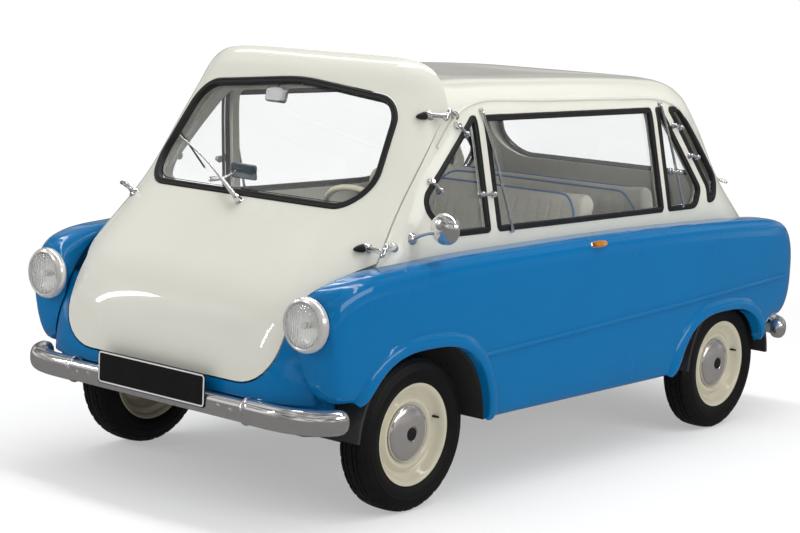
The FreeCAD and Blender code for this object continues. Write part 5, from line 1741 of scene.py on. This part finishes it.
dress(joined("steering_wheel_rim", wheel_parts), ivory_look, "ivory_plastic", "steering", "steering_wheel")
button = lathe("steering_button", HORN_BUTTON, WHEEL_CENTRE, COLUMN, 40, 0.9)
dress(button, chrome_look, "chromed", "steering")

# Mirrors inside. One in a dull metal bowl hangs on a stalk under the dome, and a
# long one in dark plastic stands on a stalk low on the windscreen.
inner_mirrors = []
head = np.array([-0.130, -0.762, 1.254])
root = nose_spot(-0.165, 1.352, 0.038)
stalk_line = [root, root * 0.5 + head * 0.5 + [0, 0.012, 0.010], head + [0, -0.006, 0.012]]
inner_mirrors.append(bar("stalk", stalk_line, [0.0065, 0.0045, 0.0045], 14, 16))
inner_mirrors.append(lathe("mount", [(0, 0), (0.014, 0), (0.014, 0.004), (0.009, 0.008), (0, 0.009)],
                           root, head - root, 24, 0.6))


def glass_slab(name, middle, half_wide, half_high, facing, deep, corner):
    """Mirror body: rounded oblong rings that swell from its back to its glass."""
    aim = np.array(facing, float)
    aim /= np.linalg.norm(aim)
    wide = np.cross([0, 0, 1.0], aim)
    wide /= np.linalg.norm(wide)
    high = np.cross(aim, wide)
    line = rounded_outline([(-half_wide, -half_high), (half_wide, -half_high), (half_wide, half_high),
                            (-half_wide, half_high)], [corner] * 4, 7)
    levels = ((-deep, 0.80), (-deep * 0.6, 0.97), (-deep * 0.25, 1.0), (0.0, 1.0), (0.0012, 0.975))
    verts = []
    for lift, shrink in levels:
        verts.extend(middle + wide * a * shrink + high * b * shrink + aim * lift for a, b in line)
    return smoothed(new_piece(name, verts, tube_faces(len(levels), len(line))), 0.6)


inner_mirrors.append(glass_slab("bowl", head, 0.052, 0.027, (0.10, 0.97, -0.22), 0.018, 0.014))
low_head = np.array([-0.072, -0.968, 1.012])
dull_look = bright_metal("mirror_bowl", (0.36, 0.36, 0.37), 0.10, 0.22, 60.0, 0.94)
dress(joined("dome_mirror", inner_mirrors), dull_look, "chromed", "front_door")
low_bowl = glass_slab("screen_mirror", low_head, 0.060, 0.026, (0.06, 0.98, 0.10), 0.014, 0.008)
slate_look = enamel("slate_plastic", (0.060, 0.085, 0.100), (0.045, 0.065, 0.080), 0.010)
dress(low_bowl, slate_look, "black_plate", "front_door")
low_foot = nose_spot(-0.195, 0.975, 0.0175)
low_line = [low_foot, low_foot * 0.5 + low_head * 0.5 + [0, 0.004, -0.004], low_head + [-0.030, -0.010, 0]]
low_stalk = [bar("stalk", low_line, [0.0095, 0.0050, 0.0045], 14, 20)]
dress(joined("screen_mirror_stalk", low_stalk), chrome_look, "chromed", "front_door")

# Underside and what shows through the glass. The floor and inner arches are pressed
# steel in black chassis paint with road dust, the axles are forged, the engine is a
# cast block, and the benches stand on painted sheet bases.


def grimy(name, color, dust, rough_low, rough_high, grain, metal=0.0):
    return finish(name, color, dust, (6.0, 8.0), (grain, 5.0), (0.3, 0.0015), (rough_low, rough_high), True,
                  [("Metallic", metal)])


under_look = grimy("chassis_black", (0.016, 0.016, 0.017), (0.040, 0.037, 0.033), 0.45, 0.85, 180.0)
steel_look = grimy("axle_steel", (0.055, 0.055, 0.058), (0.095, 0.088, 0.080), 0.35, 0.65, 240.0, 0.6)
cast_look = grimy("cast_block", (0.34, 0.35, 0.36), (0.24, 0.235, 0.225), 0.40, 0.70, 320.0, 0.7)
base_look = grimy("bench_base", (0.070, 0.078, 0.085), (0.100, 0.104, 0.106), 0.38, 0.60, 200.0)
RISE_START, FLOOR_END, RISE_TOP = 1.150, 1.325, 0.290


def turned_up(node_name):
    """The node's own sheets, with their lower edges rising towards both bumpers."""
    sheet = bmesh.new()
    sheet.from_mesh(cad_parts[node_name].data)
    sheet.transform(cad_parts[node_name].matrix_world)
    for end in (-1, 1):
        bmesh.ops.bisect_plane(sheet, geom=sheet.verts[:] + sheet.edges[:] + sheet.faces[:],
                               plane_co=(0, end * RISE_START, 0), plane_no=(0, 1, 0))
    for vert in sheet.verts:
        share = min(max((abs(vert.co.y) - RISE_START) / (FLOOR_END - RISE_START), 0), 1)
        if vert.co.z < RISE_TOP:
            vert.co.z += (RISE_TOP - vert.co.z) * share
    data = bpy.data.meshes.new(node_name + "_pressed")
    sheet.to_mesh(data)
    sheet.free()
    piece = bpy.data.objects.new(node_name + "_pressed", data)
    scene.collection.objects.link(piece)
    return piece


for node_name in ("floor_pan", "inner_arches"):
    dress(turned_up(node_name), under_look, "underbody", "body", node_name)
for node_names, look in ((("axle_beams", "knuckle_left", "knuckle_right", "steering_column"), steel_look),
                         (("engine",), cast_look), (("bench_bases",), base_look)):
    for node_name in node_names:
        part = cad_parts[node_name]
        if part.material_slots:
            for place in part.material_slots:
                place.material = look
        else:
            part.data.materials.append(look)
